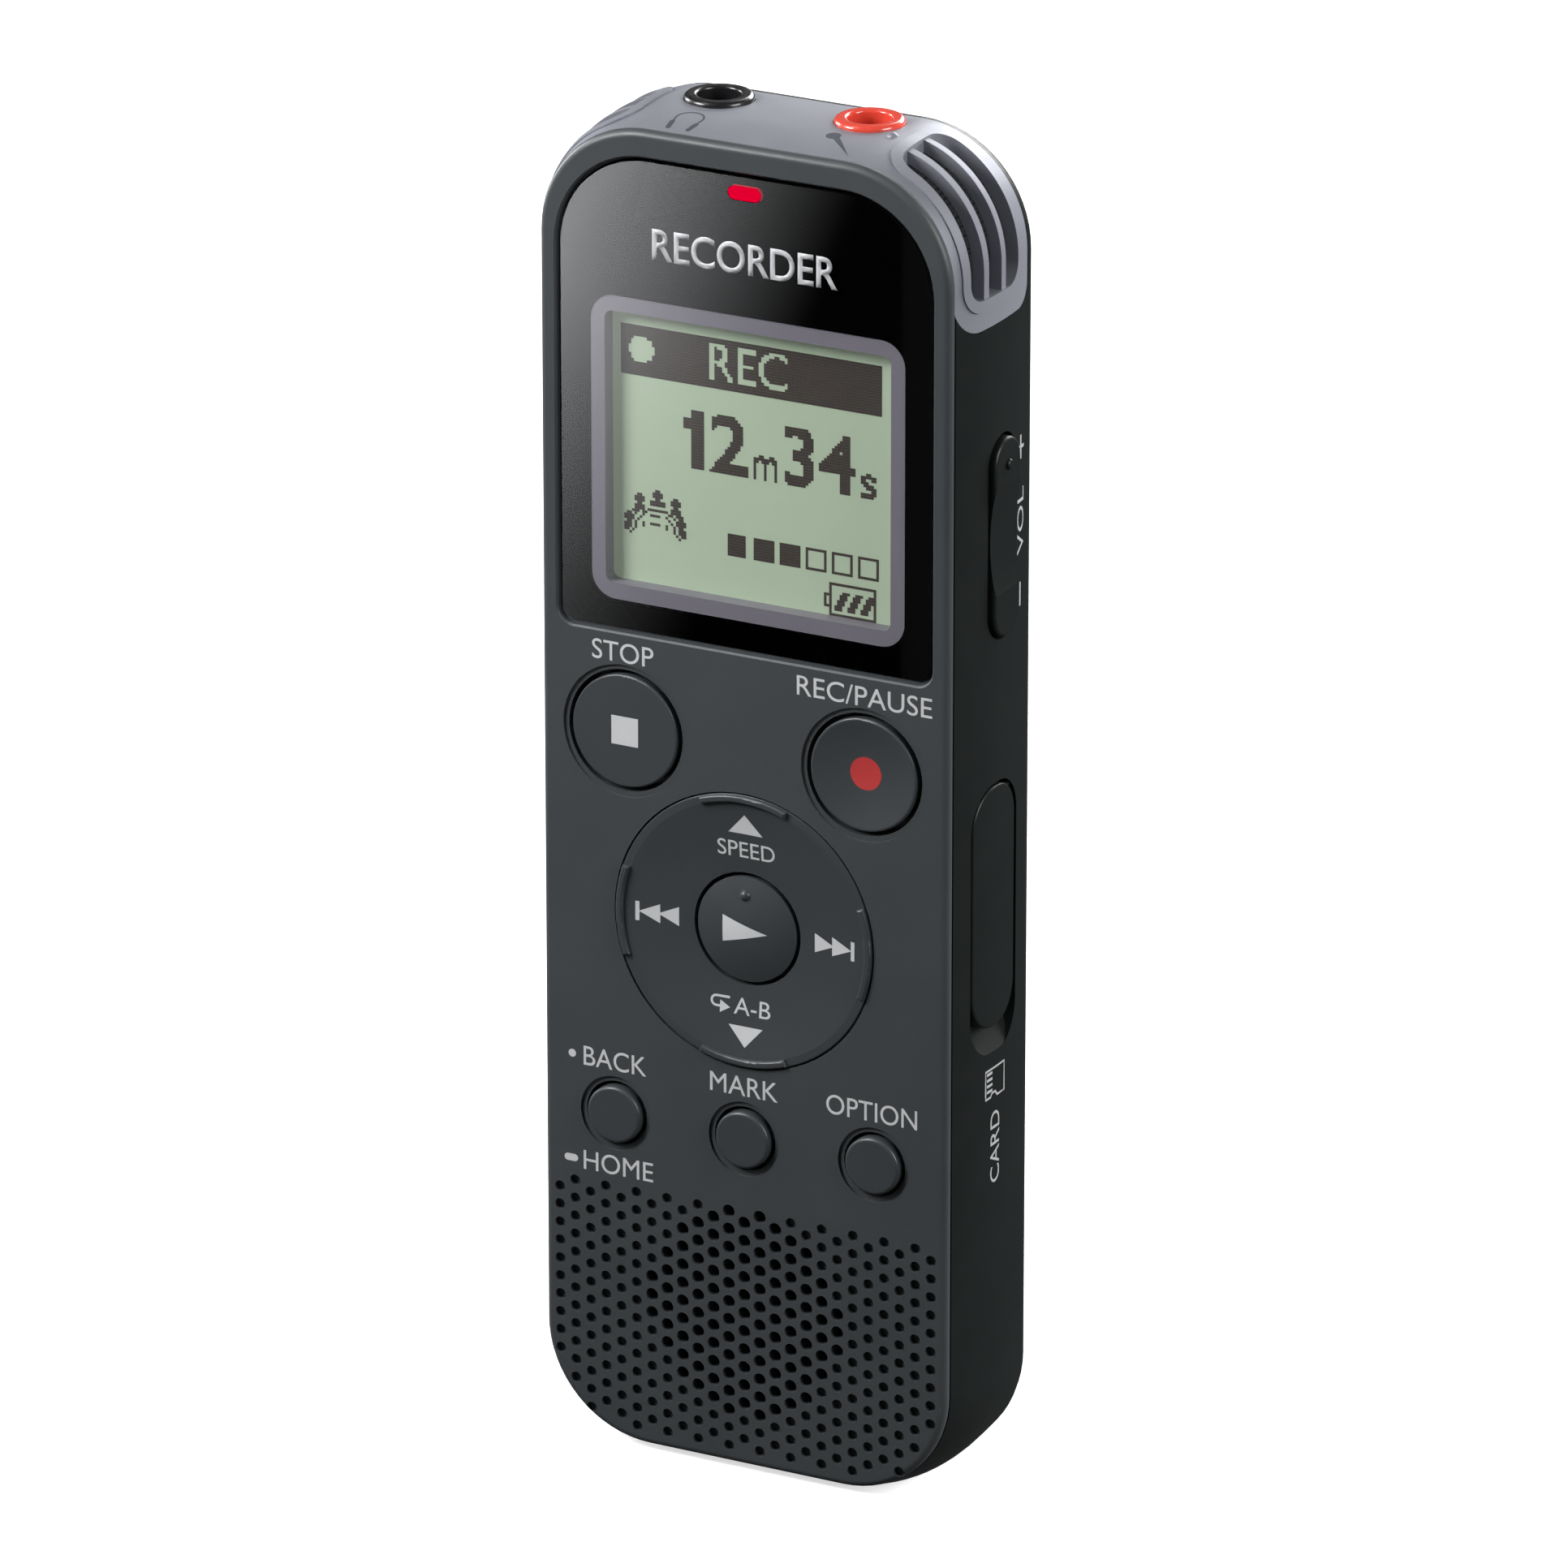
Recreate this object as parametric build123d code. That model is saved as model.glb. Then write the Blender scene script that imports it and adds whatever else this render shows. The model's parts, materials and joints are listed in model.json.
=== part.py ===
from build123d import *
import os
from math import cos, hypot, radians, sin

os.makedirs("parts", exist_ok=True)

# A pocket sound recorder that stands on its flat base. X runs across its width, Z up,
# and the front faces -Y. The origin is the middle of the base. A "depth" is counted
# from the front face towards the back, in millimetres, like every other length.

# ---- Body ----
WIDTH = 38.3
DEPTH = 19.3
HEIGHT = 114.1
CORNER_R = 9.5          # corners of the body as seen from the front
FRONT_BULGE = 0.7       # how much narrower and lower the body is at the front seam
REAR_BULGE = 0.4        # and at the rear seam
MID_DEPTH = 6.9         # depth at which they stand out furthest
FRONT_SEAM = 0.75       # front cover meets the middle frame
REAR_SEAM = 13.0        # middle frame meets the rear cover
BASE_LOW = 0.35         # how much of the round underside the flat base takes off
BASE_RISE = 0.9         # how much higher the underside is at the front seam
WALL = 2.0
TRIM_WALL = 1.0
REAR_WALL = 1.6
REAR_STEP = 0.1         # the rear cover starts this far inside the frame
REAR_EDGE = (14.0, 0.35)    # depth where it starts to narrow, and how far inside it is there
REAR_SLOPE = 0.56       # it then narrows by this much per millimetre of depth
REAR_EDGE_R = 1.6
COVER_THICK = 1.6
SKIRT_END = 3.4
SLIP = 0.05             # gap between pieces that push together by hand
SEAM_GAP = 0.06

# ---- Top trim with the microphone grilles ----
TONGUE_END = 99.8       # lower end of the trim on each side
TONGUE_FRONT_R = 3.8
TONGUE_REAR_R = 2.0
TRIM_REAR = 12.55
GRILLE_X = 12.2         # inner end of a grille on the top
GRILLE_Z = 102.4        # lower end of a grille on the side
GRILLE_NEAR = 2.55
GRILLE_SLOT = 2.05
GRILLE_RIB = 0.75
GRILLE_FAR = GRILLE_NEAR + 3 * GRILLE_SLOT + 2 * GRILLE_RIB
GRILLE_CORNER_R = 1.7
GRILLE_RIM = 0.95
RIM_HEIGHT = 0.16
MESH_THICK = 0.2
JACK_X = 6.75
JACK_DEPTH = 8.65
JACK_BORE_R = 1.8
RING_R = 2.85
NECK_R = 2.5
RING_SEAT_Z = 113.65
RING_TOP_Z = HEIGHT + 0.42
JACK_BODY = (6.0, 5.6, 11.5)
JACK_BODY_TOP = 111.5

# ---- Window and display ----
WINDOW_W = 33.5
WINDOW_LOW = 71.15
WINDOW_HIGH = 110.95
WINDOW_TOP_R = 8.0
WINDOW_LOW_R = 1.2
WINDOW_NEAR = 0.25      # the window sits this far below the rim of its pocket
WINDOW_FAR = 0.6
MASK_FAR = 0.67
POCKET_GAP = 0.2
POCKET_BEVEL = 0.15
FRAME_W = 28.35
FRAME_LOW = 73.5
FRAME_HIGH = 99.15
FRAME_R = 2.2
FRAME_BAND_X = 1.3
FRAME_BAND_Z = 1.35
FRAME_FAR = 2.0
PANEL_FAR = 3.1
LAMP_Z = 109.45
LAMP_SIZE = (2.9, 1.1)

# ---- Keys ----
BIG_KEY_X = 10.84
BIG_KEY_Z = 62.6
BIG_KEY_R = 4.8
BIG_HOLE_R = 5.2
SMALL_KEY_X = 11.84
SMALL_KEY_Z = 29.3
SMALL_KEY_R = 2.45
SMALL_HOLE_R = 2.78
SMALL_KEY_PROUD = 0.45
KEY_EDGE_R = 0.18
SMALL_KEY_EDGE_R = 0.3
HOLE_STEP = (0.45, 0.2)    # width and depth of the shallow step round each key hole
PAD_Z = 47.3
PAD_R = 11.7
PAD_DISH = 0.8          # depth of the dish in the direction pad
PAD_DISH_R = 11.0       # radius where the dish starts
PAD_FAR = 2.55
PAD_FLANGE = 0.4
PLAY_KEY_R = 4.5
PLAY_HOLE_R = 4.85
KEY_LIP_NEAR = 1.9
KEY_LIP_FAR = 2.4
MAT_NEAR = 4.0
MAT_FAR = 4.4

# ---- Inside ----
BOARD_NEAR = 5.0
BOARD_FAR = 5.8
BOARD_HALF_W = 16.0
BOARD_LOW = 25.0
BOARD_SHOULDER = 96.0
BOARD_TOP = 111.0
SPEAKER_Z = 14.0
SPEAKER_R = 10.0
SPEAKER_OPEN_R = 8.9    # holes inside this circle go right through the cover
HOLE_PITCH_X = 1.423
HOLE_PITCH_Z = 1.59
HOLE_TOP_Z = 21.95
CELL_R = 5.25
CELL_LEN = 43.3
CELL_X = 5.35
CELL_DEPTH = 12.76
CELL_LOW = 46.2
TRAY_LOW = 42.9
TRAY_HIGH = 93.3
TRAY_HALF_W = 11.3
TRAY_NEAR = 7.2
TRAY_FAR = 17.7
SCREWS = [(-11.8, 7.0), (11.8, 7.0), (-12.0, 102.0), (12.0, 102.0)]
POST_R = 1.9
POST_END = 15.6
SCREW_R = 0.8
SCREW_HEAD_R = 1.4
SCREW_SEAT = 17.2

# ---- Right side ----
ROCKER_Z = 81.75
ROCKER_DEPTH = 7.9
ROCKER_SIZE = (4.4, 16.7)
ROCKER_GAP = 0.3
ROCKER_PROUD = 0.5
ROCKER_DIP_R = 20.0
ROCKER_DOT_Z = 6.1
ROCKER_PUSH = 5.5       # the rocker's two pins press here, above and below its middle
CARD_DEPTH = 7.05
CARD_RECESS = (7.75, 38.0, 61.2)
CARD_COVER = (7.1, 40.3, 60.85)
CARD_END_R = 3.2
CARD_SCOOP = 2.15
CARD_FLOOR_X = 17.9
CARD_PIN = (18.65, 60.1, 0.22)    # x, z and radius of the cover's hinge pin
CARD_PIN_REACH = 3.15
CARD_LOW = 45.0
CARD_W = 11.0
CARD_LEN = 15.0
CARD_THICK = 0.7
CARD_NEAR = 6.15
CARD_END_X = 17.4

# ---- Left side and base ----
HOLD_Z = 88.0
HOLD_DEPTH = 7.2
HOLD_TRAVEL = 2.0
LEVER_Z = 32.0
PLUG_SIZE = (12.0, 4.5, 18.8)
PLUG_DEPTH = 9.65
PLUG_TIP = 0.6
PLUG_TRAVEL = 15.0
SHEET = 0.35            # thickness of the plug's folded steel

# ---- Battery door ----
DOOR_LOW = 42.6
DOOR_HIGH = 94.2
DOOR_HALF_W = 11.4
DOOR_THICK = 1.2
DOOR_GAP = 0.12


# ======== Helpers ========
def y_at(depth):
    """Y coordinate of a depth below the front face."""
    return depth - DEPTH / 2


def facing(depth):
    """Sketch plane at a depth: its x is X and its y is Z."""
    return Plane(origin=(0, y_at(depth), 0), x_dir=(1, 0, 0), z_dir=(0, -1, 0))


def slab(sketch, near, far):
    """A front-view sketch extruded between two depths."""
    return extrude(facing(far) * sketch, far - near)


def disc(x, z, radius, near, far):
    """A round boss or hole that points at the front."""
    return slab(Pos(x, z) * Circle(radius), near, far)


def side_block(sketch, x_low, x_high):
    """A side-view sketch (y is Y, z is Z) extruded along X."""
    return extrude(Plane.YZ.offset(x_low) * sketch, x_high - x_low)


def column(sketch, z_low, z_high):
    """A top-view sketch extruded upwards."""
    return extrude(Plane.XY.offset(z_low) * sketch, z_high - z_low)


def block(x_low, x_high, near, far, z_low, z_high):
    """A box from its limits: x, depth and z."""
    size = (x_high - x_low, far - near, z_high - z_low)
    centre = ((x_low + x_high) / 2, y_at((near + far) / 2), (z_low + z_high) / 2)
    return Pos(*centre) * Box(*size)


def side_slot(depth, z, width, length, x_low, x_high, radius=None):
    """A round-ended bar seen from the side."""
    corner = width / 2 - 0.01 if radius is None else radius
    return side_block(Pos(y_at(depth), z) * RectangleRounded(width, length, corner), x_low, x_high)


def ball(x, depth, z, radius):
    return Pos(x, y_at(depth), z) * Sphere(radius)


def below_base():
    return Pos(0, 0, -10) * Box(80, 80, 20)


def save(shape, name):
    solids = shape.solids()
    whole = solids[0] if len(solids) == 1 else Compound(children=list(solids))
    whole.label = name
    export_step(whole, f"parts/{name}.step")


# ======== Body surfaces ========
def bulge(depth):
    return ((depth - MID_DEPTH) / (REAR_SEAM - MID_DEPTH)) ** 2


def body_section(half_width, low, high, depth, inset):
    size = (2 * (half_width - inset), high - low - 2 * inset)
    return facing(depth) * Pos(0, (low + high) / 2) * RectangleRounded(*size, CORNER_R - inset)


def frame_limits(depth):
    """Half width, lowest and highest point of the frame's outside at a depth."""
    front = depth < MID_DEPTH
    drop = (FRONT_BULGE if front else REAR_BULGE) * bulge(depth)
    rise = BASE_RISE * bulge(depth) if front else 0.0
    return WIDTH / 2 - drop, rise - BASE_LOW, HEIGHT - drop


def frame_body(inset, overrun=0.0):
    """The lofted body between the two seams, drawn in by an inset."""
    depths = [FRONT_SEAM - overrun, 3.5, MID_DEPTH, 10.0, REAR_SEAM + overrun]
    return loft([body_section(*frame_limits(depth), depth, inset) for depth in depths])


def rear_body(inset, far):
    """The rear hump from the rear seam to a depth: a short upright edge, then a slope."""
    half_width, low, high = frame_limits(REAR_SEAM)
    edge_depth, edge_taper = REAR_EDGE
    far_taper = edge_taper + REAR_SLOPE * (far - edge_depth)
    sections = []
    for depth, taper in ((REAR_SEAM, REAR_STEP), (edge_depth, edge_taper), (far, far_taper)):
        sections.append(body_section(half_width - taper, low, high - taper, depth, inset))
    return loft(sections, ruled=True)


def cover_outline(inset):
    """Front-view outline at the front seam."""
    half_width, low, high = frame_limits(FRONT_SEAM)
    size = (2 * (half_width - inset), high - low - 2 * inset)
    return Pos(0, (low + high) / 2) * RectangleRounded(*size, CORNER_R - inset)


# ======== Top trim and grilles ========
def trim_zone(gap=0.0):
    """Side-view tongue shape that the trim fills, across the whole width."""
    near = y_at(FRONT_SEAM) - 0.3
    far = y_at(TRIM_REAR - gap)
    low = TONGUE_END + gap
    high = HEIGHT + 5
    outline = Pos((near + far) / 2, (low + high) / 2) * Rectangle(far - near, high - low)
    lower = outline.vertices().group_by(Axis.Y)[0].sort_by(Axis.X)
    outline = fillet(lower[0], TONGUE_FRONT_R - gap)
    rear_corner = outline.vertices().sort_by(Axis.X)[-2:].sort_by(Axis.Y)[0]
    outline = fillet(rear_corner, TONGUE_REAR_R - gap)
    return side_block(outline, -WIDTH, WIDTH)


def grille_zone(side, margin=0.0):
    """Corner region of one grille: round-ended seen from above and from the side."""
    depth = (GRILLE_NEAR + GRILLE_FAR) / 2
    width = GRILLE_FAR - GRILLE_NEAR + 2 * margin
    corner = GRILLE_CORNER_R + margin
    reach = 20.0
    x_mid = side * (GRILLE_X - margin + reach / 2)
    above = Pos(x_mid, y_at(depth)) * RectangleRounded(reach, width, corner)
    beside = Pos(y_at(depth), GRILLE_Z - margin + reach / 2) * RectangleRounded(width, reach, corner)
    x_low, x_high = sorted((side * 5.0, side * 25.0))
    return column(above, 90, 125) & side_block(beside, x_low, x_high)


def grille_slot(side, index):
    near = GRILLE_NEAR + index * (GRILLE_SLOT + GRILLE_RIB)
    band = block(-WIDTH, WIDTH, near, near + GRILLE_SLOT, 90, 125)
    return grille_zone(side) & band


def jack_hole(x, radius, z_low, z_high):
    return column(Pos(x, y_at(JACK_DEPTH)) * Circle(radius), z_low, z_high)


def make_top_trim():
    skin = frame_body(0) - frame_body(TRIM_WALL, 0.5)
    trim = skin & trim_zone(SEAM_GAP)
    for side in (-1, 1):
        rim = (frame_body(-RIM_HEIGHT) - frame_body(TRIM_WALL / 2, 0.5))
        rim = rim & grille_zone(side, GRILLE_RIM)
        rim = rim - grille_zone(side)
        trim = trim + rim
        for index in range(3):
            trim = trim - grille_slot(side, index)
        trim = trim - jack_hole(side * JACK_X, NECK_R + SLIP, 100, 120)
        trim = trim - jack_hole(side * JACK_X, RING_R + SLIP, RING_SEAT_Z, 120)
    dot = ball(10.0, 6.3, HEIGHT - 0.35, 0.6)
    return trim + (dot - frame_body(TRIM_WALL / 2, 0.5))


def mesh_skin():
    return frame_body(TRIM_WALL, 0.5) - frame_body(TRIM_WALL + MESH_THICK, 0.5)


def make_grille_mesh(side):
    """Dark cloth behind a grille's ribs."""
    return mesh_skin() & grille_zone(side, 0.6)


# ======== Middle frame ========
def card_recess_cut():
    """Recess of the card cover, with a sloping finger scoop at its lower end."""
    width, low, high = CARD_RECESS
    prism = side_slot(CARD_DEPTH, (low + high) / 2, width, high - low, 15, 25, CARD_END_R + 0.3)
    outer_x = WIDTH / 2 + 0.1
    scoop = [(outer_x, low), (CARD_FLOOR_X, low + CARD_SCOOP), (CARD_FLOOR_X, high + 1), (25, high + 1), (25, low)]
    profile = Polyline(*scoop, close=True)
    wedge = extrude(Plane.XZ * make_face(profile), 20, both=True)
    return prism & wedge


def make_middle_frame():
    frame = frame_body(0) - frame_body(WALL, 0.6)
    frame = frame - ((frame_body(-1, 0.5) - frame_body(TRIM_WALL, 0.5)) & trim_zone())
    seam = slab(cover_outline(-3) - cover_outline(0.3), FRONT_SEAM, FRONT_SEAM + 0.16)
    frame = frame - seam - below_base() - slab(window_outline(0.25), 0, 1.4)
    for side in (-1, 1):
        frame = frame - grille_zone(side) - make_grille_mesh(side)
        frame = frame - jack_hole(side * JACK_X, NECK_R + SLIP, 100, 120)
    # Right side: volume rocker, card cover and card slot.
    hole = (ROCKER_SIZE[0] + 2 * ROCKER_GAP, ROCKER_SIZE[1] + 2 * ROCKER_GAP)
    frame = frame - side_slot(ROCKER_DEPTH, ROCKER_Z, *hole, 14, 22)
    frame = frame - card_recess_cut()
    frame = frame - block(14, 19, CARD_NEAR - 0.15, CARD_NEAR + 1.15, CARD_LOW - 0.25, CARD_LOW + CARD_W + 0.25)
    frame = frame - block(17.4, 18.7, 4.6, 9.5, 59.0, 61.1) - card_pin(SLIP)
    # Left side: hold slider and the plug's lever.
    frame = frame - side_slot(HOLD_DEPTH, HOLD_Z, 4.4, 12.0, -22, -18.2)
    stem_reach = HOLD_TRAVEL + 1.2
    frame = frame - block(-22, -14, HOLD_DEPTH - 0.8, HOLD_DEPTH + 0.8, HOLD_Z - stem_reach, HOLD_Z + stem_reach)
    lever_mid = LEVER_Z - PLUG_TRAVEL / 2
    frame = frame - side_slot(PLUG_DEPTH, lever_mid, 5.4, PLUG_TRAVEL + 9.2, -22, -18.1, 2.0)
    slot_low = LEVER_Z - PLUG_TRAVEL - 1.6
    frame = frame - block(-22, -14, PLUG_DEPTH - 0.9, PLUG_DEPTH + 0.9, slot_low, LEVER_Z + 1.6)
    # Base: the plug slides out through it.
    mouth = RectangleRounded(PLUG_SIZE[0] + 0.5, PLUG_SIZE[1] + 0.5, 0.5)
    frame = frame - column(Pos(0, y_at(PLUG_DEPTH)) * mouth, -1, 5)
    return frame


# ======== Front cover ========
def window_outline(grow=0.0):
    width = WINDOW_W + 2 * grow
    height = WINDOW_HIGH - WINDOW_LOW + 2 * grow
    outline = Pos(0, (WINDOW_LOW + WINDOW_HIGH) / 2) * Rectangle(width, height)
    outline = fillet(outline.vertices().group_by(Axis.Y)[-1], WINDOW_TOP_R + grow)
    return fillet(outline.vertices().group_by(Axis.Y)[0], WINDOW_LOW_R + grow)


def display_outline(grow_x, grow_z, radius):
    size = (FRAME_W + 2 * grow_x, FRAME_HIGH - FRAME_LOW + 2 * grow_z)
    return Pos(0, (FRAME_LOW + FRAME_HIGH) / 2) * RectangleRounded(*size, radius)


def lamp_outline(grow=0.0):
    length, height = LAMP_SIZE
    corner = height / 2 + grow - 0.01
    return Pos(0, LAMP_Z) * RectangleRounded(length + 2 * grow, height + 2 * grow, corner)


def key_places():
    """Name, x, z, hole radius of the five round keys outside the pad."""
    return [
        ("stop_button", -BIG_KEY_X, BIG_KEY_Z, BIG_HOLE_R),
        ("record_button", BIG_KEY_X, BIG_KEY_Z, BIG_HOLE_R),
        ("back_button", -SMALL_KEY_X, SMALL_KEY_Z, SMALL_HOLE_R),
        ("mark_button", 0.0, SMALL_KEY_Z, SMALL_HOLE_R),
        ("option_button", SMALL_KEY_X, SMALL_KEY_Z, SMALL_HOLE_R),
    ]


def speaker_holes():
    """Staggered field of holes: (x, z) of every one."""
    columns_half = 12
    shortened = {columns_half: 10, columns_half - 1: 12}
    places = []
    for column_index in range(-columns_half, columns_half + 1):
        odd = column_index % 2
        count = shortened.get(abs(column_index), 14 if odd else 13)
        if abs(column_index) == columns_half - 3:
            count = 13
        top = HOLE_TOP_Z + odd * HOLE_PITCH_Z / 2
        for row in range(count):
            places.append((column_index * HOLE_PITCH_X, top - row * HOLE_PITCH_Z))
    return places


def make_front_cover():
    cover = slab(cover_outline(0), 0, FRONT_SEAM)
    cover = fillet(cover.faces().sort_by(Axis.Y)[0].outer_wire().edges(), 0.6)
    cover = cover + slab(cover_outline(WALL + SLIP), FRONT_SEAM, COVER_THICK)
    skirt = slab(cover_outline(WALL + SLIP) - cover_outline(WALL + 0.95), COVER_THICK, SKIRT_END)
    skirt = skirt - block(-WIDTH, WIDTH, 0, DEPTH, 55.5, 69.5)
    cover = cover + skirt
    # Window pocket and the openings for the display and the record lamp.
    cover = cover - slab(window_outline(POCKET_GAP), -1, MASK_FAR)
    cover = cover - extrude(facing(POCKET_BEVEL) * window_outline(POCKET_GAP), POCKET_BEVEL, taper=-45)
    cover = cover - slab(display_outline(0.4, 0.4, FRAME_R + 0.4), 0, 5)
    cover = cover - slab(lamp_outline(0.25), 0, 5)
    # Key holes with a shallow step round them, and the plain hole of the direction pad.
    step_width, step_depth = HOLE_STEP
    for _name, x, z, radius in key_places():
        cover = cover - disc(x, z, radius, -1, 5)
        cover = cover - disc(x, z, radius + step_width, -1, step_depth)
    cover = cover - disc(0, PAD_Z, PAD_R + 0.14, -1, 5)
    # Speaker holes: open over the speaker, blind dimples around it.
    open_hole = Circle(0.56)
    dimple = Circle(0.47)
    through = []
    blind = []
    for x, z in speaker_holes():
        inside = hypot(x, z - SPEAKER_Z) < SPEAKER_OPEN_R
        (through if inside else blind).append(Pos(x, z) * (open_hole if inside else dimple))
    cover = cover - slab(Sketch(children=through), -1, 3)
    cover = cover - slab(Sketch(children=blind), -1, 0.55)
    # Ring wall round the speaker and four screw posts.
    ring = disc(0, SPEAKER_Z, SPEAKER_R + 1.0, COVER_THICK, 4.6)
    cover = cover + (ring - disc(0, SPEAKER_Z, SPEAKER_R + SLIP, 0, 6))
    for x, z in SCREWS:
        cover = cover + disc(x, z, POST_R, COVER_THICK, POST_END)
        cover = cover - disc(x, z, SCREW_R + 0.03, POST_END - 8, POST_END + 1)
    return cover


# ======== Display ========
def make_display_window():
    window = slab(window_outline(), WINDOW_NEAR, WINDOW_FAR)
    window = chamfer(window.faces().sort_by(Axis.Y)[0].outer_wire().edges(), 0.15)
    return window - slab(lamp_outline(SLIP), 0, 3)


def make_window_mask():
    mask = slab(window_outline(), WINDOW_FAR, MASK_FAR)
    mask = mask - slab(display_outline(0, 0, FRAME_R), 0, 3)
    return mask - slab(lamp_outline(SLIP), 0, 3)


def make_display_frame():
    frame = slab(display_outline(0.25, 0.25, FRAME_R + 0.25), MASK_FAR, FRAME_FAR)
    return frame - slab(display_outline(-FRAME_BAND_X, -FRAME_BAND_Z, 0.7), 0, 5)


def make_display_panel():
    return slab(display_outline(0.25, 0.25, 0.5), FRAME_FAR, PANEL_FAR)


def make_display_backlight():
    tray = slab(display_outline(0.6, 0.6, 0.8), PANEL_FAR, BOARD_NEAR)
    return tray - slab(display_outline(-1.2, -1.2, 0.5), PANEL_FAR + 0.5, BOARD_NEAR + 1)


def make_record_lamp():
    """Red light pipe from the lamp on the board to the front of the window."""
    pipe = slab(lamp_outline(), WINDOW_NEAR, BOARD_NEAR - 0.4)
    return pipe + slab(lamp_outline(0.15), MASK_FAR, BOARD_NEAR - 0.4)


# ======== Keys ========
def make_round_key(x, z, radius, near, edge_r=KEY_EDGE_R):
    key = disc(x, z, radius, near, KEY_LIP_NEAR)
    key = fillet(key.faces().sort_by(Axis.Y)[0].edges(), edge_r)
    lip = radius + (0.7 if radius > 3 else 0.65)
    return key + disc(x, z, lip, KEY_LIP_NEAR, KEY_LIP_FAR)


def make_record_button():
    key = make_round_key(BIG_KEY_X, BIG_KEY_Z, BIG_KEY_R, 0.0)
    dish_r = BIG_KEY_R - 0.25
    dish_depth = 0.5
    sphere_r = (dish_r ** 2 + dish_depth ** 2) / (2 * dish_depth)
    return key - ball(BIG_KEY_X, dish_depth - sphere_r, BIG_KEY_Z, sphere_r)


def make_play_button():
    apex = -0.1
    dome = 0.7
    sphere_r = (PLAY_KEY_R ** 2 + dome ** 2) / (2 * dome)
    key = disc(0, PAD_Z, PLAY_KEY_R, apex, 2.85)
    key = key & ball(0, apex + sphere_r, PAD_Z, sphere_r)
    key = key + disc(0, PAD_Z, PLAY_KEY_R + 0.9, 2.85, 3.2)
    return key + ball(0, 0.4, PAD_Z + 3.0, 0.5)


def make_control_ring():
    sphere_r = (PAD_DISH_R ** 2 + PAD_DISH ** 2) / (2 * PAD_DISH)
    ring = disc(0, PAD_Z, PAD_R, 0, PAD_FAR - PAD_FLANGE)
    ring = fillet(ring.faces().sort_by(Axis.Y)[0].edges(), 0.12)
    ring = ring - ball(0, PAD_DISH - sphere_r, PAD_Z, sphere_r)
    ring = ring + disc(0, PAD_Z, PAD_R + 0.8, PAD_FAR - PAD_FLANGE, PAD_FAR)
    # Four raised finger ridges by the rim.
    outer_r = PAD_R - 0.06
    inner_r = outer_r - 0.62
    half_angle = 20.0
    reach = 20.0
    wedge_x = reach * sin(radians(half_angle))
    wedge_z = reach * cos(radians(half_angle))
    wedge = make_face(Polyline((0, 0), (wedge_x, wedge_z), (-wedge_x, wedge_z), close=True))
    arc = (Circle(outer_r) - Circle(inner_r)) & wedge
    for quarter in range(4):
        ridge = slab(Pos(0, PAD_Z) * Rot(0, 0, 90 * quarter) * arc, -0.35, 0.6)
        ridge = fillet(ridge.faces().sort_by(Axis.Y)[0].edges(), 0.2)
        ring = ring + ridge
    return ring - disc(0, PAD_Z, PLAY_HOLE_R, -1, 5)


def make_ring_gimbal():
    """Thin plate under the pad that carries it and lets it rock both ways."""
    return disc(0, PAD_Z, 8.8, 2.95, 3.3) - disc(0, PAD_Z, 6.2, 2, 4)


def make_key_mat():
    """Silicone mat with a plunger under every key and a rim that sits on the board."""
    half_w, low, high = 15.4, 25.6, 69.0
    outline = Pos(0, (low + high) / 2) * RectangleRounded(2 * half_w, high - low, 2.0)
    inner = Pos(0, (low + high) / 2) * RectangleRounded(2 * half_w - 2.4, high - low - 2.4, 1.0)
    mat = slab(outline, MAT_NEAR, MAT_FAR) + slab(outline - inner, MAT_FAR, BOARD_NEAR)
    for _name, x, z, _radius in key_places():
        mat = mat + disc(x, z, 1.6, 2.85, MAT_NEAR)
    mat = mat + disc(0, PAD_Z, 2.2, 3.55, MAT_NEAR)
    for x, z in pad_contacts():
        mat = mat + disc(x, z, 1.3, 3.5, MAT_NEAR)
    return mat


def pad_contacts():
    reach = 10.2
    return [(reach, PAD_Z), (-reach, PAD_Z), (0, PAD_Z + reach), (0, PAD_Z - reach)]


def make_snap_domes():
    """Metal click domes on the board, one under each plunger."""
    places = [(x, z) for _name, x, z, _radius in key_places()] + pad_contacts() + [(0, PAD_Z)]
    domes = []
    for x, z in places:
        sphere_r = 6.6
        cap = ball(x, BOARD_NEAR - 0.35 + sphere_r, z, sphere_r)
        domes.append(cap & disc(x, z, 2.0, 4.4, BOARD_NEAR))
    return Compound(children=[dome.solids()[0] for dome in domes])


# ======== Board and sound ========
def make_main_board():
    lower_z = (BOARD_LOW + BOARD_SHOULDER) / 2
    lower = Pos(0, lower_z) * Rectangle(2 * BOARD_HALF_W, BOARD_SHOULDER - BOARD_LOW)
    neck_z = (BOARD_SHOULDER + BOARD_TOP) / 2
    neck = Pos(0, neck_z) * Rectangle(19.6, BOARD_TOP - BOARD_SHOULDER + 1)
    return slab(lower + neck, BOARD_NEAR, BOARD_FAR)


def make_board_chips():
    """Processor, memory, amplifier, crystal, capacitors and the record lamp's light."""
    rear_chips = [
        (2.0, 36.5, 7.0, 7.0, 0.65), (-9.5, 36.0, 6.0, 8.0, 0.65), (11.5, 30.0, 4.0, 4.0, 0.65),
        (10.5, 37.5, 3.2, 2.0, 0.6), (-3.0, 97.0, 4.0, 3.0, 0.9), (3.5, 97.2, 3.0, 2.0, 0.8),
    ]
    chips = [block(x - w / 2, x + w / 2, BOARD_FAR, BOARD_FAR + t, z - h / 2, z + h / 2)
             for x, z, w, h, t in rear_chips]
    chips.append(slab(lamp_outline(0.1), BOARD_NEAR - 0.4, BOARD_NEAR))
    return Compound(children=[chip.solids()[0] for chip in chips])


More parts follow.
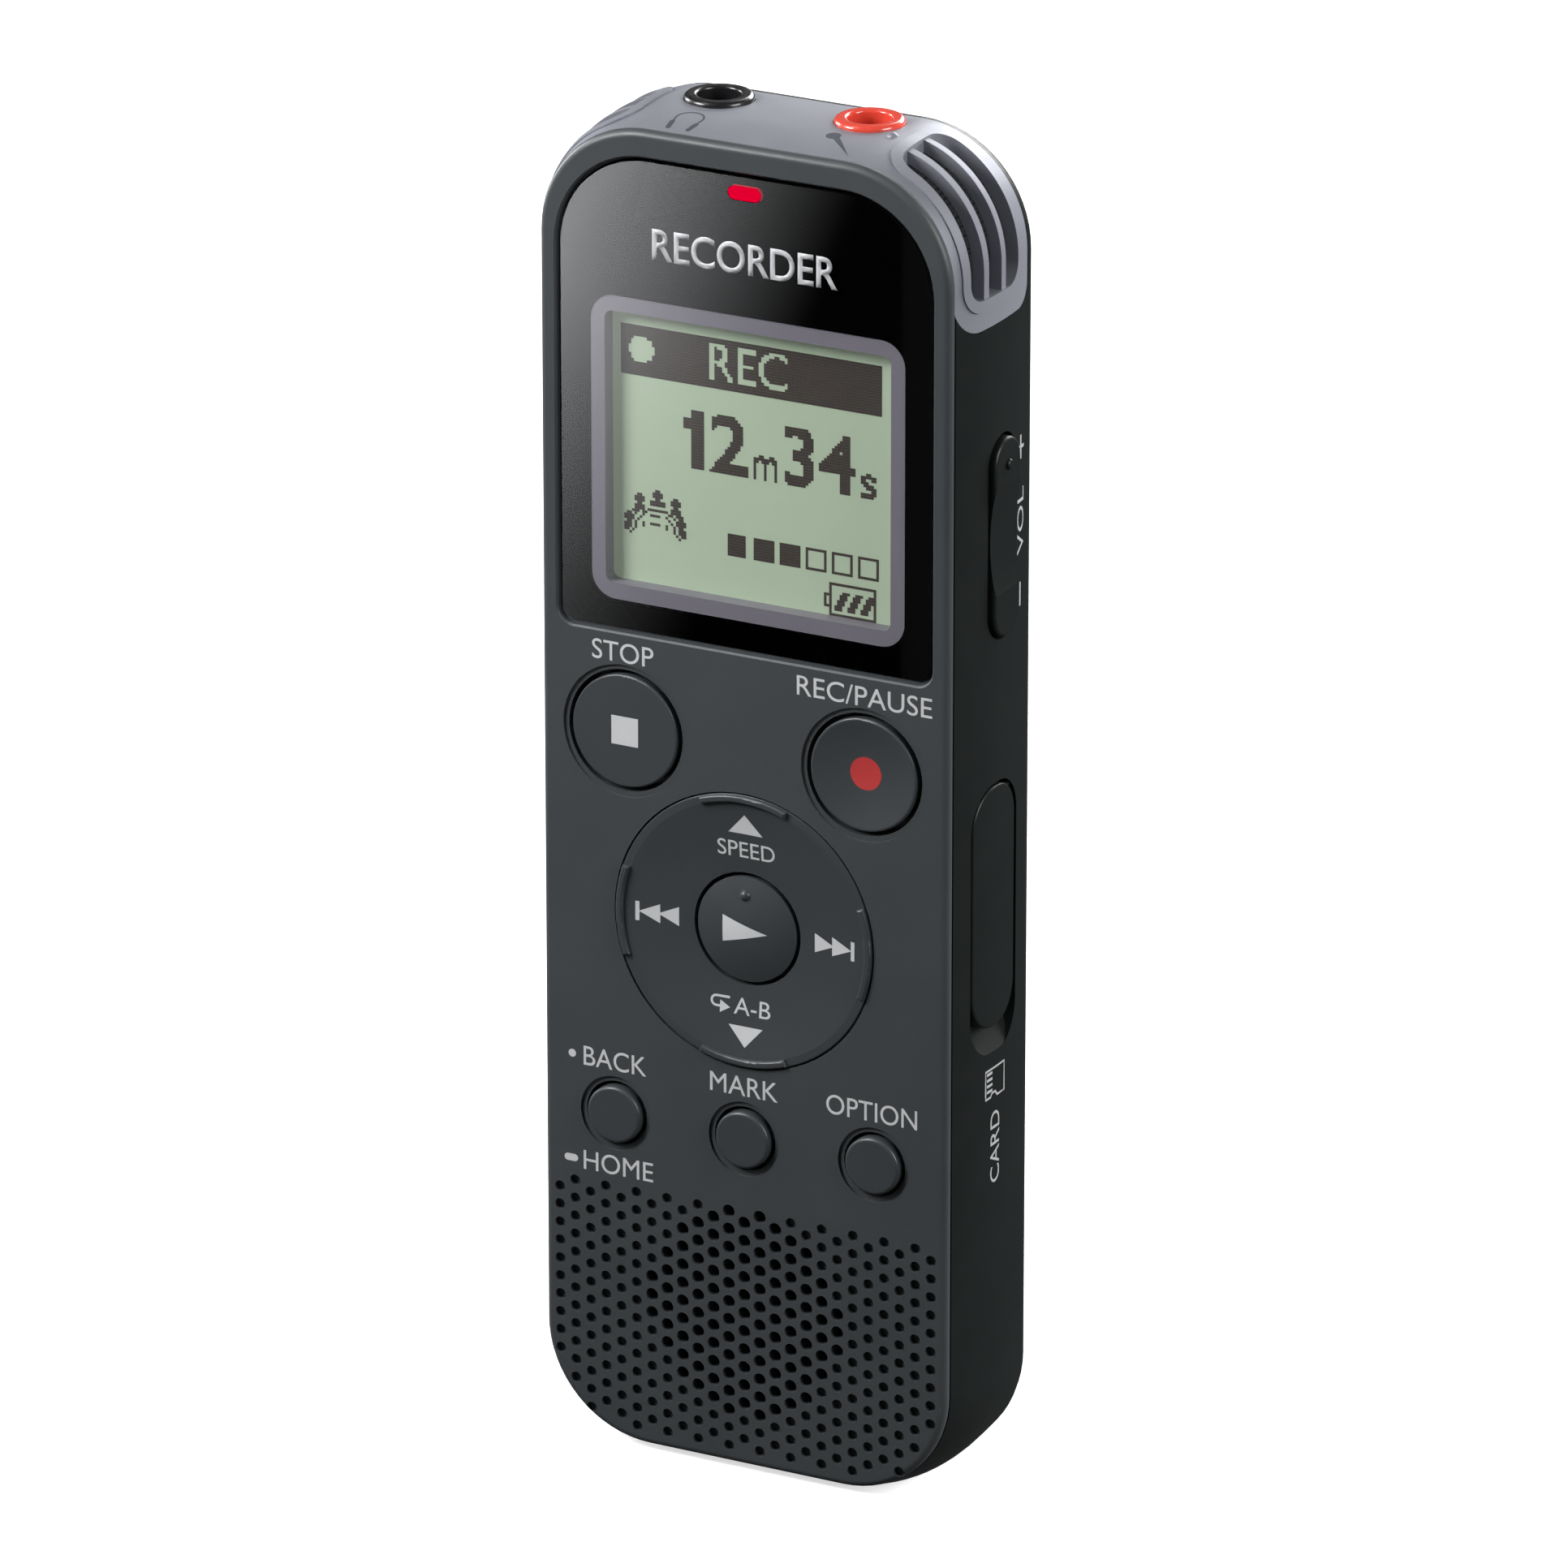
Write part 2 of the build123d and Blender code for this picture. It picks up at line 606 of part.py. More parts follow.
def make_speaker_cloth():
    return disc(0, SPEAKER_Z, 9.3, COVER_THICK, COVER_THICK + 0.12)


def make_speaker_gasket():
    return disc(0, SPEAKER_Z, SPEAKER_R, COVER_THICK, 2.1) - disc(0, SPEAKER_Z, 9.35, 1, 3)


def make_speaker_frame():
    basket = disc(0, SPEAKER_Z, SPEAKER_R, 2.1, 3.3) - disc(0, SPEAKER_Z, 9.2, 2, 3.0)
    basket = basket + disc(0, SPEAKER_Z, 7.4, 3.3, 4.7) - disc(0, SPEAKER_Z, 6.8, 2, 4.3)
    return basket


def make_speaker_cone():
    """Flat diaphragm with a small dome in the middle."""
    dome_r = 4.0
    sphere_r = 12.0
    centre = 2.2 + sphere_r
    dome = ball(0, centre, SPEAKER_Z, sphere_r) - ball(0, centre, SPEAKER_Z, sphere_r - 0.2)
    dome = dome & disc(0, SPEAKER_Z, dome_r, 2, 3.0)
    flat = disc(0, SPEAKER_Z, 9.2, 2.8, 3.0) - disc(0, SPEAKER_Z, dome_r - 0.2, 2, 4)
    return dome + flat


def make_speaker_magnet():
    return disc(0, SPEAKER_Z, 5.2, 4.7, 6.1)


def corner_plane(side, radius):
    """Plane at a radius out from the body's upper corner centre, facing outwards at 45 degrees."""
    corner_x = WIDTH / 2 - CORNER_R
    corner_z = HEIGHT - CORNER_R
    along = radius * sin(radians(45))
    origin = (side * (corner_x + along), y_at(6.4), corner_z + along)
    return Plane(origin=origin, x_dir=(0, 1, 0), z_dir=(side, 0, 1))


def make_microphone(side):
    return extrude(corner_plane(side, 4.8) * Circle(2.0), 1.6)


def make_microphone_boot(side):
    boot = extrude(corner_plane(side, 4.2) * Circle(2.9), 2.9)
    return boot - extrude(corner_plane(side, 4.8) * Circle(2.0), 5)


def make_jack(x):
    width, thick, tall = JACK_BODY
    low = JACK_BODY_TOP - tall
    body = block(x - width / 2, x + width / 2, BOARD_FAR, BOARD_FAR + thick, low, JACK_BODY_TOP)
    return body - jack_hole(x, JACK_BORE_R, low + 0.8, 120)


def make_jack_ring(x):
    """Collar round a socket: a rounded ring on a neck through the top."""
    ring = jack_hole(x, RING_R, RING_SEAT_Z, RING_TOP_Z)
    ring = fillet(ring.faces().sort_by(Axis.Z)[-1].edges(), 0.38)
    ring = ring + jack_hole(x, NECK_R, JACK_BODY_TOP, RING_SEAT_Z)
    ring = ring - jack_hole(x, JACK_BORE_R, 100, 120)
    mouth = ring.faces().sort_by(Axis.Z)[-1].inner_wires()[0].edges()
    return fillet(mouth, 0.22)


# ======== Batteries ========
def make_battery_tray():
    tray = block(-TRAY_HALF_W, TRAY_HALF_W, TRAY_NEAR, TRAY_FAR, TRAY_LOW, TRAY_HIGH)
    lip = block(-TRAY_HALF_W - 1.2, TRAY_HALF_W + 1.2, TRAY_FAR - 0.6, TRAY_FAR, TRAY_LOW, TRAY_HIGH)
    tray = tray + lip
    channel_low = TRAY_LOW + 1.0
    channel_high = TRAY_HIGH - 1.0
    for side in (-1, 1):
        round_part = Pos(side * CELL_X, y_at(CELL_DEPTH)) * Circle(CELL_R + 0.08)
        tray = tray - column(round_part, channel_low, channel_high)
    inner = CELL_X + CELL_R + 0.08
    return tray - block(-inner, inner, CELL_DEPTH, DEPTH, channel_low, channel_high)


def make_battery_cell(side):
    """One AAA cell; the two lie opposite ways round."""
    centre = Pos(side * CELL_X, y_at(CELL_DEPTH))
    if side < 0:
        body_low = CELL_LOW
        nub = (body_low + CELL_LEN, body_low + CELL_LEN + 1.2)
    else:
        body_low = TRAY_LOW + TRAY_HIGH - CELL_LOW - CELL_LEN
        nub = (body_low - 1.2, body_low)
    can = column(centre * Circle(CELL_R), body_low, body_low + CELL_LEN)
    can = fillet(can.edges().filter_by(GeomType.CIRCLE), 0.4)
    return can + column(centre * Circle(1.9), *nub)


def make_battery_contacts():
    """Spring steel end plates, two at each end of the tray."""
    plates = []
    for side in (-1, 1):
        for low in (TRAY_LOW + 1.0, TRAY_HIGH - 1.3):
            x = side * CELL_X
            plates.append(block(x - 3.6, x + 3.6, 9.2, 16.2, low, low + 0.3))
    return Compound(children=[plate.solids()[0] for plate in plates])


def make_battery_springs():
    """A coil spring at the negative end of each cell."""
    wire_r = 0.22
    lower = (TRAY_LOW + 1.3 + wire_r, CELL_LOW - wire_r)
    upper = (TRAY_LOW + TRAY_HIGH - lower[1], TRAY_LOW + TRAY_HIGH - lower[0])
    springs = []
    for side, (low, high) in ((-1, lower), (1, upper)):
        coil = Helix((high - low) / 2, high - low, 2.4)
        path = Pos(side * CELL_X, y_at(CELL_DEPTH), low) * coil
        start_plane = Plane(origin=path @ 0, z_dir=path % 0)
        springs.append(sweep(start_plane * Circle(wire_r), path=path))
    return Compound(children=[spring.solids()[0] for spring in springs])


# ======== Right side controls ========
def make_volume_rocker():
    """Rocker bar with a hollow in its middle, so its two ends stand out; a dot marks the upper one."""
    width, length = ROCKER_SIZE
    outer_x = WIDTH / 2 + ROCKER_PROUD
    body = side_slot(ROCKER_DEPTH, ROCKER_Z, width, length, 17.5, outer_x)
    body = fillet(body.faces().sort_by(Axis.X)[-1].edges(), 0.3)
    body = body + block(16.0, 16.5, BOARD_FAR + 0.2, ROCKER_DEPTH + 3.1, ROCKER_Z - 3, ROCKER_Z + 3)
    body = body + block(16.0, 17.6, ROCKER_DEPTH - 1.7, ROCKER_DEPTH + 1.7, ROCKER_Z - 3, ROCKER_Z + 3)
    for end in (-1, 1):
        place = Pos(y_at(ROCKER_DEPTH), ROCKER_Z + end * ROCKER_PUSH)
        body = body + side_block(place * Circle(0.6), 15.75, 17.6)
    hollow = Pos(WIDTH / 2 + ROCKER_DIP_R, y_at(ROCKER_DEPTH), ROCKER_Z) * Rot(90, 0, 0)
    body = body - hollow * Cylinder(ROCKER_DIP_R, 20)
    dot = side_block(Pos(y_at(ROCKER_DEPTH), ROCKER_Z + ROCKER_DOT_Z) * Circle(0.45), 18.5, outer_x + 0.25)
    dot = fillet(dot.faces().sort_by(Axis.X)[-1].edges(), 0.2)
    return body + dot


def make_volume_switches():
    switches = [block(13.4, 15.5, BOARD_FAR, 9.6, z - 1.8, z + 1.8)
                for z in (ROCKER_Z - ROCKER_PUSH, ROCKER_Z + ROCKER_PUSH)]
    return Compound(children=[switch.solids()[0] for switch in switches])


def make_card_cover():
    width, low, high = CARD_COVER
    prism = side_slot(CARD_DEPTH, (low + high) / 2, width, high - low, CARD_FLOOR_X + 0.1, 25, CARD_END_R)
    cover = prism & frame_body(0.02)
    cover = fillet(cover.faces().sort_by(Axis.X)[-1].edges(), 0.2)
    return cover + card_pin(0)


def card_pin(grow):
    """Hinge pin at the cover's upper end, along Y."""
    x, z, radius = CARD_PIN
    reach = CARD_PIN_REACH + grow
    far = y_at(CARD_DEPTH) + reach
    return extrude(Plane.XZ.offset(-far) * Pos(x, z) * Circle(radius + grow), 2 * reach)


def make_card_socket():
    """Folded steel shell on the board that holds the card."""
    card_in = CARD_END_X - CARD_LEN
    outer = block(card_in - 1.4, 15.6, BOARD_FAR, 7.15, CARD_LOW - 1.3, CARD_LOW + CARD_W + 1.3)
    near, far = CARD_NEAR - 0.05, CARD_NEAR + CARD_THICK + 0.1
    return outer - block(card_in - 0.8, 18, near, far, CARD_LOW - 0.1, CARD_LOW + CARD_W + 0.1)


def make_memory_card():
    x_low = CARD_END_X - CARD_LEN
    high = CARD_LOW + CARD_W
    body = block(x_low, CARD_END_X, CARD_NEAR, CARD_NEAR + CARD_THICK, CARD_LOW, high)
    notch = block(x_low - 1, x_low + 6.5, 5, 8, high - 1.2, high + 1)
    grip = block(CARD_END_X - 0.8, CARD_END_X, CARD_NEAR, CARD_NEAR + 1.0, CARD_LOW, high)
    return body - notch + grip


# ======== Left side controls and plug ========
def make_hold_slider():
    knob = side_slot(HOLD_DEPTH, HOLD_Z, 3.7, 5.6, -19.35, -18.3, 1.2)
    for offset in (-1.5, -0.5, 0.5, 1.5):
        knob = knob - block(-19.5, -19.15, 4, 11, HOLD_Z + offset - 0.15, HOLD_Z + offset + 0.15)
    stem = block(-18.4, -16.5, HOLD_DEPTH - 0.6, HOLD_DEPTH + 0.6, HOLD_Z - 1.0, HOLD_Z + 1.0)
    return knob + stem


def make_hold_switch():
    return block(-16.2, -13.2, BOARD_FAR, 8.8, HOLD_Z - 4.5, HOLD_Z + 4.5)


def make_plug_shell():
    width, thick, length = PLUG_SIZE
    centre = Pos(0, y_at(PLUG_DEPTH))
    outer = column(centre * Rectangle(width, thick), PLUG_TIP, PLUG_TIP + length)
    outer = fillet(outer.edges().filter_by(Axis.Z), 0.3)
    shell = outer - column(centre * Rectangle(width - 2 * SHEET, thick - 2 * SHEET), -1, PLUG_TIP + length)
    for side in (-1, 1):
        shell = shell - block(side * 2.9 - 1.1, side * 2.9 + 1.1, 5, 15, PLUG_TIP + 5.1, PLUG_TIP + 7.4)
    return shell


def make_plug_tongue():
    width, thick, length = PLUG_SIZE
    near = PLUG_DEPTH - thick / 2 + SHEET
    return block(-width / 2 + SHEET, width / 2 - SHEET, near, near + 1.9, PLUG_TIP + 0.6, PLUG_TIP + length)


def make_plug_carriage():
    low = PLUG_TIP + PLUG_SIZE[2]
    body = block(-7.4, 7.4, 6.7, 12.6, low, low + 11.5)
    arm = block(-18.15, -7.0, PLUG_DEPTH - 0.7, PLUG_DEPTH + 0.7, LEVER_Z - 1.3, LEVER_Z + 1.3)
    bridge = block(-9.0, -5.0, PLUG_DEPTH - 1.6, PLUG_DEPTH + 1.6, low + 6, LEVER_Z + 1.3)
    return body + bridge + arm


def make_plug_lever():
    knob = side_slot(PLUG_DEPTH, LEVER_Z, 4.7, 8.4, -19.55, -18.15, 1.6)
    for index in range(5):
        z = LEVER_Z - 2.4 + 1.2 * index
        knob = knob - block(-20, -19.25, 5, 14, z - 0.2, z + 0.2)
    return knob


# ======== Rear ========
def door_outline(grow):
    size = (2 * (DOOR_HALF_W + grow), DOOR_HIGH - DOOR_LOW + 2 * grow)
    return Pos(0, (DOOR_LOW + DOOR_HIGH) / 2) * Rectangle(*size)


def door_hinge():
    """Depth and height of the door's hinge line, in its rounded upper edge."""
    return DEPTH - DOOR_THICK / 2, DOOR_HIGH - DOOR_THICK / 2


def make_rear_cover():
    cover = rear_body(0, DEPTH)
    cover = fillet(cover.faces().sort_by(Axis.Y)[-1].outer_wire().edges(), REAR_EDGE_R)
    cover = cover - below_base()
    hollow = rear_body(REAR_WALL, DEPTH - REAR_WALL)
    cover = cover - hollow
    cover = cover - slab(door_outline(DOOR_GAP), DEPTH - 3, DEPTH + 1)
    for x, z in SCREWS:
        boss = disc(x, z, POST_R + 0.6, POST_END, DEPTH - REAR_WALL)
        cover = cover + boss
        cover = cover - disc(x, z, SCREW_R + 0.1, 12, DEPTH + 1)
        cover = cover - disc(x, z, SCREW_HEAD_R + 0.1, SCREW_SEAT, DEPTH + 1)
    hinge_depth, hinge_z = door_hinge()
    for side in (-1, 1):
        pin_hole = Pos(hinge_depth - DEPTH / 2, hinge_z) * Circle(0.4)
        x_low, x_high = sorted((side * DOOR_HALF_W, side * (DOOR_HALF_W + 1.2)))
        cover = cover - side_block(pin_hole, x_low, x_high)
    # Strap loop: two slots either side of a bar, low on the left.
    cover = cover - block(-19, -13.8, 14.0, 16.0, 14.0, 18.0)
    cover = cover - block(-11.8, -9.6, 17, 20, 14.0, 18.0)
    return cover


def make_battery_door():
    door = slab(door_outline(0), DEPTH - DOOR_THICK, DEPTH)
    upper = door.edges().filter_by(Axis.X).group_by(Axis.Z)[-1]
    door = fillet(upper, DOOR_THICK / 2 - 0.01)
    hinge_depth, hinge_z = door_hinge()
    for side in (-1, 1):
        pin_hole = Pos(hinge_depth - DEPTH / 2, hinge_z) * Circle(0.43)
        x_low, x_high = sorted((side * (DOOR_HALF_W - 2.6), side * (DOOR_HALF_W + 1)))
        door = door - side_block(pin_hole, x_low, x_high)
    # Thumb grooves near the lower end.
    for index in range(5):
        z = DOOR_LOW + 5.0 + 1.4 * index
        door = door - block(-4.5, 4.5, DEPTH - 0.3, DEPTH + 1, z - 0.3, z + 0.3)
    return door


def make_door_pins():
    hinge_depth, hinge_z = door_hinge()
    pins = []
    for side in (-1, 1):
        x_low, x_high = sorted((side * (DOOR_HALF_W - 2.3), side * (DOOR_HALF_W + 1.2)))
        pins.append(side_block(Pos(hinge_depth - DEPTH / 2, hinge_z) * Circle(0.39), x_low, x_high))
    return Compound(children=[pin.solids()[0] for pin in pins])


def make_case_screws():
    screws = []
    for x, z in SCREWS:
        head = disc(x, z, SCREW_HEAD_R, SCREW_SEAT, SCREW_SEAT + 0.9)
        cross = block(x - 0.9, x + 0.9, SCREW_SEAT + 0.5, DEPTH, z - 0.18, z + 0.18)
        cross = cross + block(x - 0.18, x + 0.18, SCREW_SEAT + 0.5, DEPTH, z - 0.9, z + 0.9)
        screws.append(head - cross + disc(x, z, SCREW_R, SCREW_SEAT - 8, SCREW_SEAT))
    return Compound(children=[screw.solids()[0] for screw in screws])


# ======== Write every node ========
NODES = {
    "front_cover": make_front_cover,
    "middle_frame": make_middle_frame,
    "top_trim": make_top_trim,
    "rear_cover": make_rear_cover,
    "battery_door": make_battery_door,
    "door_pins": make_door_pins,
    "case_screws": make_case_screws,
    "display_window": make_display_window,
    "window_mask": make_window_mask,
    "display_frame": make_display_frame,
    "display_panel": make_display_panel,
    "display_backlight": make_display_backlight,
    "record_lamp": make_record_lamp,
    "record_button": make_record_button,
    "play_button": make_play_button,
    "control_ring": make_control_ring,
    "ring_gimbal": make_ring_gimbal,
    "key_mat": make_key_mat,
    "snap_domes": make_snap_domes,
    "main_board": make_main_board,
    "board_chips": make_board_chips,
    "speaker_cloth": make_speaker_cloth,
    "speaker_gasket": make_speaker_gasket,
    "speaker_frame": make_speaker_frame,
    "speaker_cone": make_speaker_cone,
    "speaker_magnet": make_speaker_magnet,
    "battery_tray": make_battery_tray,
    "battery_contacts": make_battery_contacts,
    "battery_springs": make_battery_springs,
    "volume_rocker": make_volume_rocker,
    "volume_switches": make_volume_switches,
    "card_cover": make_card_cover,
    "card_socket": make_card_socket,
    "memory_card": make_memory_card,
    "hold_slider": make_hold_slider,
    "hold_switch": make_hold_switch,
    "plug_shell": make_plug_shell,
    "plug_tongue": make_plug_tongue,
    "plug_carriage": make_plug_carriage,
    "plug_lever": make_plug_lever,
}

for node_name, make in NODES.items():
    save(make(), node_name)

save(make_round_key(-BIG_KEY_X, BIG_KEY_Z, BIG_KEY_R, 0.0), "stop_button")
for key_name, key_x, key_z, _hole in key_places()[2:]:
    save(make_round_key(key_x, key_z, SMALL_KEY_R, -SMALL_KEY_PROUD, SMALL_KEY_EDGE_R), key_name)

for side_name, side_sign in (("left", -1), ("right", 1)):
    save(make_grille_mesh(side_sign), f"{side_name}_grille_mesh")
    save(make_microphone(side_sign), f"{side_name}_microphone")
    save(make_microphone_boot(side_sign), f"{side_name}_microphone_boot")
    save(make_battery_cell(side_sign), f"{side_name}_battery_cell")

save(make_jack(-JACK_X), "headphone_socket")
save(make_jack_ring(-JACK_X), "headphone_ring")
save(make_jack(JACK_X), "microphone_socket")
save(make_jack_ring(JACK_X), "microphone_ring")
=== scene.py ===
import json
from math import atan2, cos, hypot, pi, radians, sin

import bmesh
import bpy
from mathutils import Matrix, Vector
from mathutils.bvhtree import BVHTree

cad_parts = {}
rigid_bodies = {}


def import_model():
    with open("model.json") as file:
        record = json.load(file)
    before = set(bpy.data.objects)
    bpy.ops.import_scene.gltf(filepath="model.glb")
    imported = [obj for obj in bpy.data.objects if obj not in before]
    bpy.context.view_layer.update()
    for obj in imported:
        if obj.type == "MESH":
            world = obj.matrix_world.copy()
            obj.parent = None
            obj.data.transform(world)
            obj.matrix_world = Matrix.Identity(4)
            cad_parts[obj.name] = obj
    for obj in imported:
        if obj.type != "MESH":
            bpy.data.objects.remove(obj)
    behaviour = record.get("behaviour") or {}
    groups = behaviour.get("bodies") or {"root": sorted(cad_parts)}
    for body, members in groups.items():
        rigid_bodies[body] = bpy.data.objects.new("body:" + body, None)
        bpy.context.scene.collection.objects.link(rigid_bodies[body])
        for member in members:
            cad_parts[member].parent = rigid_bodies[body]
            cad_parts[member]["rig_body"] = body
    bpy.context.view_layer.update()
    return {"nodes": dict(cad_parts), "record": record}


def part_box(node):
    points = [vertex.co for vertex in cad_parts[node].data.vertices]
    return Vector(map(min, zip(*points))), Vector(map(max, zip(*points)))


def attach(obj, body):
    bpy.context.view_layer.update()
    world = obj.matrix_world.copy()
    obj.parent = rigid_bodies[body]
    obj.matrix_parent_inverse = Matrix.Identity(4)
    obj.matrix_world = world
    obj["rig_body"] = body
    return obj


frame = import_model()
NODES = frame["nodes"]

MM = 0.001
LIFT = 0.012            # how far printed marks stand above a surface
PRINT_THICK = 0.02
LONGEST_EDGE = 0.9      # a printed mark's edges are halved until they are no longer than this
MOST_HALVINGS = 5
OUTSIDE = 300           # a height that is above every surface
WELD = 0.0005           # points of lettering closer than this become one, in letter heights


# ======== Places taken from the frame ========
def box_mm(node):
    low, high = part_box(node)
    return low / MM, high / MM


def centre_mm(node):
    low, high = box_mm(node)
    return (low + high) / 2


FRONT_Y = box_mm("front_cover")[0].y
WINDOW_LOW, WINDOW_HIGH = box_mm("display_window")
PANEL_LOW = box_mm("display_panel")[0]
PAD = centre_mm("control_ring")


# ======== Node material helpers ========
class Graph:
    """Short calls for building one material's node tree."""

    def __init__(self, name):
        self.material = bpy.data.materials.new(name)
        self.material.use_nodes = True
        self.tree = self.material.node_tree
        self.tree.nodes.clear()
        self.output = self.tree.nodes.new("ShaderNodeOutputMaterial")
        self.position = self.node("ShaderNodeTexCoord").outputs["Object"]

    def node(self, kind, **settings):
        made = self.tree.nodes.new(kind)
        for key, value in settings.items():
            setattr(made, key, value)
        return made

    def link(self, source, target):
        self.tree.links.new(source, target)

    def principled(self, **values):
        shader = self.node("ShaderNodeBsdfPrincipled")
        for key, value in values.items():
            shader.inputs[key.replace("_", " ")].default_value = value
        return shader

    def noise(self, scale, detail=2.0, stretch=None):
        texture = self.node("ShaderNodeTexNoise")
        texture.inputs["Scale"].default_value = scale
        texture.inputs["Detail"].default_value = detail
        source = self.position
        if stretch:
            mapping = self.node("ShaderNodeMapping")
            mapping.inputs["Scale"].default_value = stretch
            self.link(self.position, mapping.inputs["Vector"])
            source = mapping.outputs["Vector"]
        self.link(source, texture.inputs["Vector"])
        return texture.outputs["Fac"]

    def cells(self, scale, feature="F1"):
        texture = self.node("ShaderNodeTexVoronoi", feature=feature)
        texture.inputs["Scale"].default_value = scale
        self.link(self.position, texture.inputs["Vector"])
        return texture.outputs["Distance"]

    def remap(self, value, low, high, out_low, out_high):
        mapped = self.node("ShaderNodeMapRange")
        settings = (low, high, out_low, out_high)
        for key, number in zip(("From Min", "From Max", "To Min", "To Max"), settings):
            mapped.inputs[key].default_value = number
        self.link(value, mapped.inputs["Value"])
        return mapped.outputs["Result"]

    def spread(self, noise, out_low, out_high):
        """Stretch a noise, which mostly stays between 0.3 and 0.7, over a range."""
        return self.remap(noise, 0.3, 0.7, out_low, out_high)

    def blend(self, factor, first, second):
        mixed = self.node("ShaderNodeMix", data_type="RGBA")
        mixed.inputs["A"].default_value = (*first, 1)
        mixed.inputs["B"].default_value = (*second, 1)
        self.link(factor, mixed.inputs["Factor"])
        return mixed.outputs["Result"]

    def bump(self, height, strength, distance):
        bumped = self.node("ShaderNodeBump")
        bumped.inputs["Strength"].default_value = strength
        bumped.inputs["Distance"].default_value = distance
        self.link(height, bumped.inputs["Height"])
        return bumped.outputs["Normal"]

    def finish(self, shader):
        self.link(shader.outputs[0], self.output.inputs["Surface"])
        return self.material


def moulded_plastic(name, dark, light, roughness, grain=0.25, specular=0.45):
    """Fine spark-eroded moulding: small grain, faint cloudiness and uneven gloss."""
    g = Graph(name)
    shader = g.principled(Specular_IOR_Level=specular)
    cloud = g.noise(90.0, 3.0)
    g.link(g.blend(g.spread(cloud, 0, 1), dark, light), shader.inputs["Base Color"])
    patch = g.noise(260.0, 2.0)
    g.link(g.spread(patch, roughness - 0.04, roughness + 0.05), shader.inputs["Roughness"])
    g.link(g.bump(g.noise(9000.0, 2.0), grain, 0.00002), shader.inputs["Normal"])
    return g.finish(shader)


def satin_silver():
    """Silver paint with very fine flakes and a soft sheen."""
    g = Graph("satin_silver_paint")
    shader = g.principled(Metallic=0.4, Specular_IOR_Level=0.4)
    flakes = g.cells(16000.0)
    g.link(g.blend(flakes, (0.22, 0.226, 0.257), (0.275, 0.282, 0.321)), shader.inputs["Base Color"])
    g.link(g.spread(g.noise(300.0), 0.42, 0.50), shader.inputs["Roughness"])
    g.link(g.bump(flakes, 0.12, 0.00001), shader.inputs["Normal"])
    return g.finish(shader)


HEAD_ON_SHARE = 0.04    # share of light that acrylic reflects when seen head-on
GRAZING_POWER = 5.0     # how steeply that share rises towards grazing views


def clear_window():
    """Clear pane: what is behind shows, and the surface reflects like polished acrylic."""
    g = Graph("clear_window")
    gloss = g.node("ShaderNodeBsdfGlossy")
    gloss.inputs["Color"].default_value = (1, 1, 1, 1)
    g.link(g.spread(g.noise(40.0), 0.015, 0.03), gloss.inputs["Roughness"])
    clear = g.node("ShaderNodeBsdfTransparent")
    clear.inputs["Color"].default_value = (0.98, 0.985, 0.99, 1)
    facing = g.node("ShaderNodeLayerWeight").outputs["Facing"]
    steep = g.node("ShaderNodeMath", operation="POWER")
    steep.inputs[1].default_value = GRAZING_POWER
    g.link(facing, steep.inputs[0])
    reflectance = g.remap(steep.outputs[0], 0, 1, HEAD_ON_SHARE, 1)
    # The rear face is bonded to the print, so only the front half of the pane reflects.
    split = g.node("ShaderNodeSeparateXYZ")
    g.link(g.position, split.inputs[0])
    middle = (WINDOW_LOW.y + WINDOW_HIGH.y) / 2 * MM
    front = g.remap(split.outputs["Y"], middle - 0.00005, middle, 1, 0)
    reflect = g.node("ShaderNodeMath", operation="MULTIPLY")
    g.link(reflectance, reflect.inputs[0])
    g.link(front, reflect.inputs[1])
    mixed = g.node("ShaderNodeMixShader")
    g.link(reflect.outputs[0], mixed.inputs["Fac"])
    g.link(clear.outputs[0], mixed.inputs[1])
    g.link(gloss.outputs[0], mixed.inputs[2])
    return g.finish(mixed)


def printed_ink(name, colour, roughness=0.5):
    """Screen-printed ink with slightly uneven cover."""
    g = Graph(name)
    shader = g.principled()
    darker = tuple(0.93 * c for c in colour)
    g.link(g.blend(g.noise(4000.0), darker, colour), shader.inputs["Base Color"])
    g.link(g.spread(g.noise(2500.0), roughness - 0.05, roughness + 0.05), shader.inputs["Roughness"])
    return g.finish(shader)


def smooth_plastic(name, dark, light, roughness, coat=0.0, specular=0.5):
    """Polished moulding with a faint orange peel."""
    g = Graph(name)
    shader = g.principled(Coat_Weight=coat, Coat_Roughness=0.08, Specular_IOR_Level=specular)
    g.link(g.blend(g.noise(120.0), dark, light), shader.inputs["Base Color"])
    g.link(g.spread(g.noise(500.0), roughness - 0.03, roughness + 0.04), shader.inputs["Roughness"])
    g.link(g.bump(g.noise(1500.0), 0.06, 0.00002), shader.inputs["Normal"])
    return g.finish(shader)


def display_glass():
    """Reflective liquid crystal panel: grey-green with a faint row and column grid, and a painted glow."""
    g = Graph("display_glass")
    shader = g.principled(Roughness=0.35, Specular_IOR_Level=0.3)
    # Painted light: the panel has no backlight. This weak glow in its own grey-green brightens it as if more
    # light reached it inside its recess.
    shader.inputs["Emission Strength"].default_value = 0.24
    tone = g.blend(g.spread(g.noise(60.0), 0, 1), (0.355, 0.43, 0.31), (0.375, 0.45, 0.33))
    g.link(tone, shader.inputs["Base Color"])
    g.link(tone, shader.inputs["Emission Color"])
    g.link(g.bump(g.cells(4200.0), 0.05, 0.00001), shader.inputs["Normal"])
    return g.finish(shader)


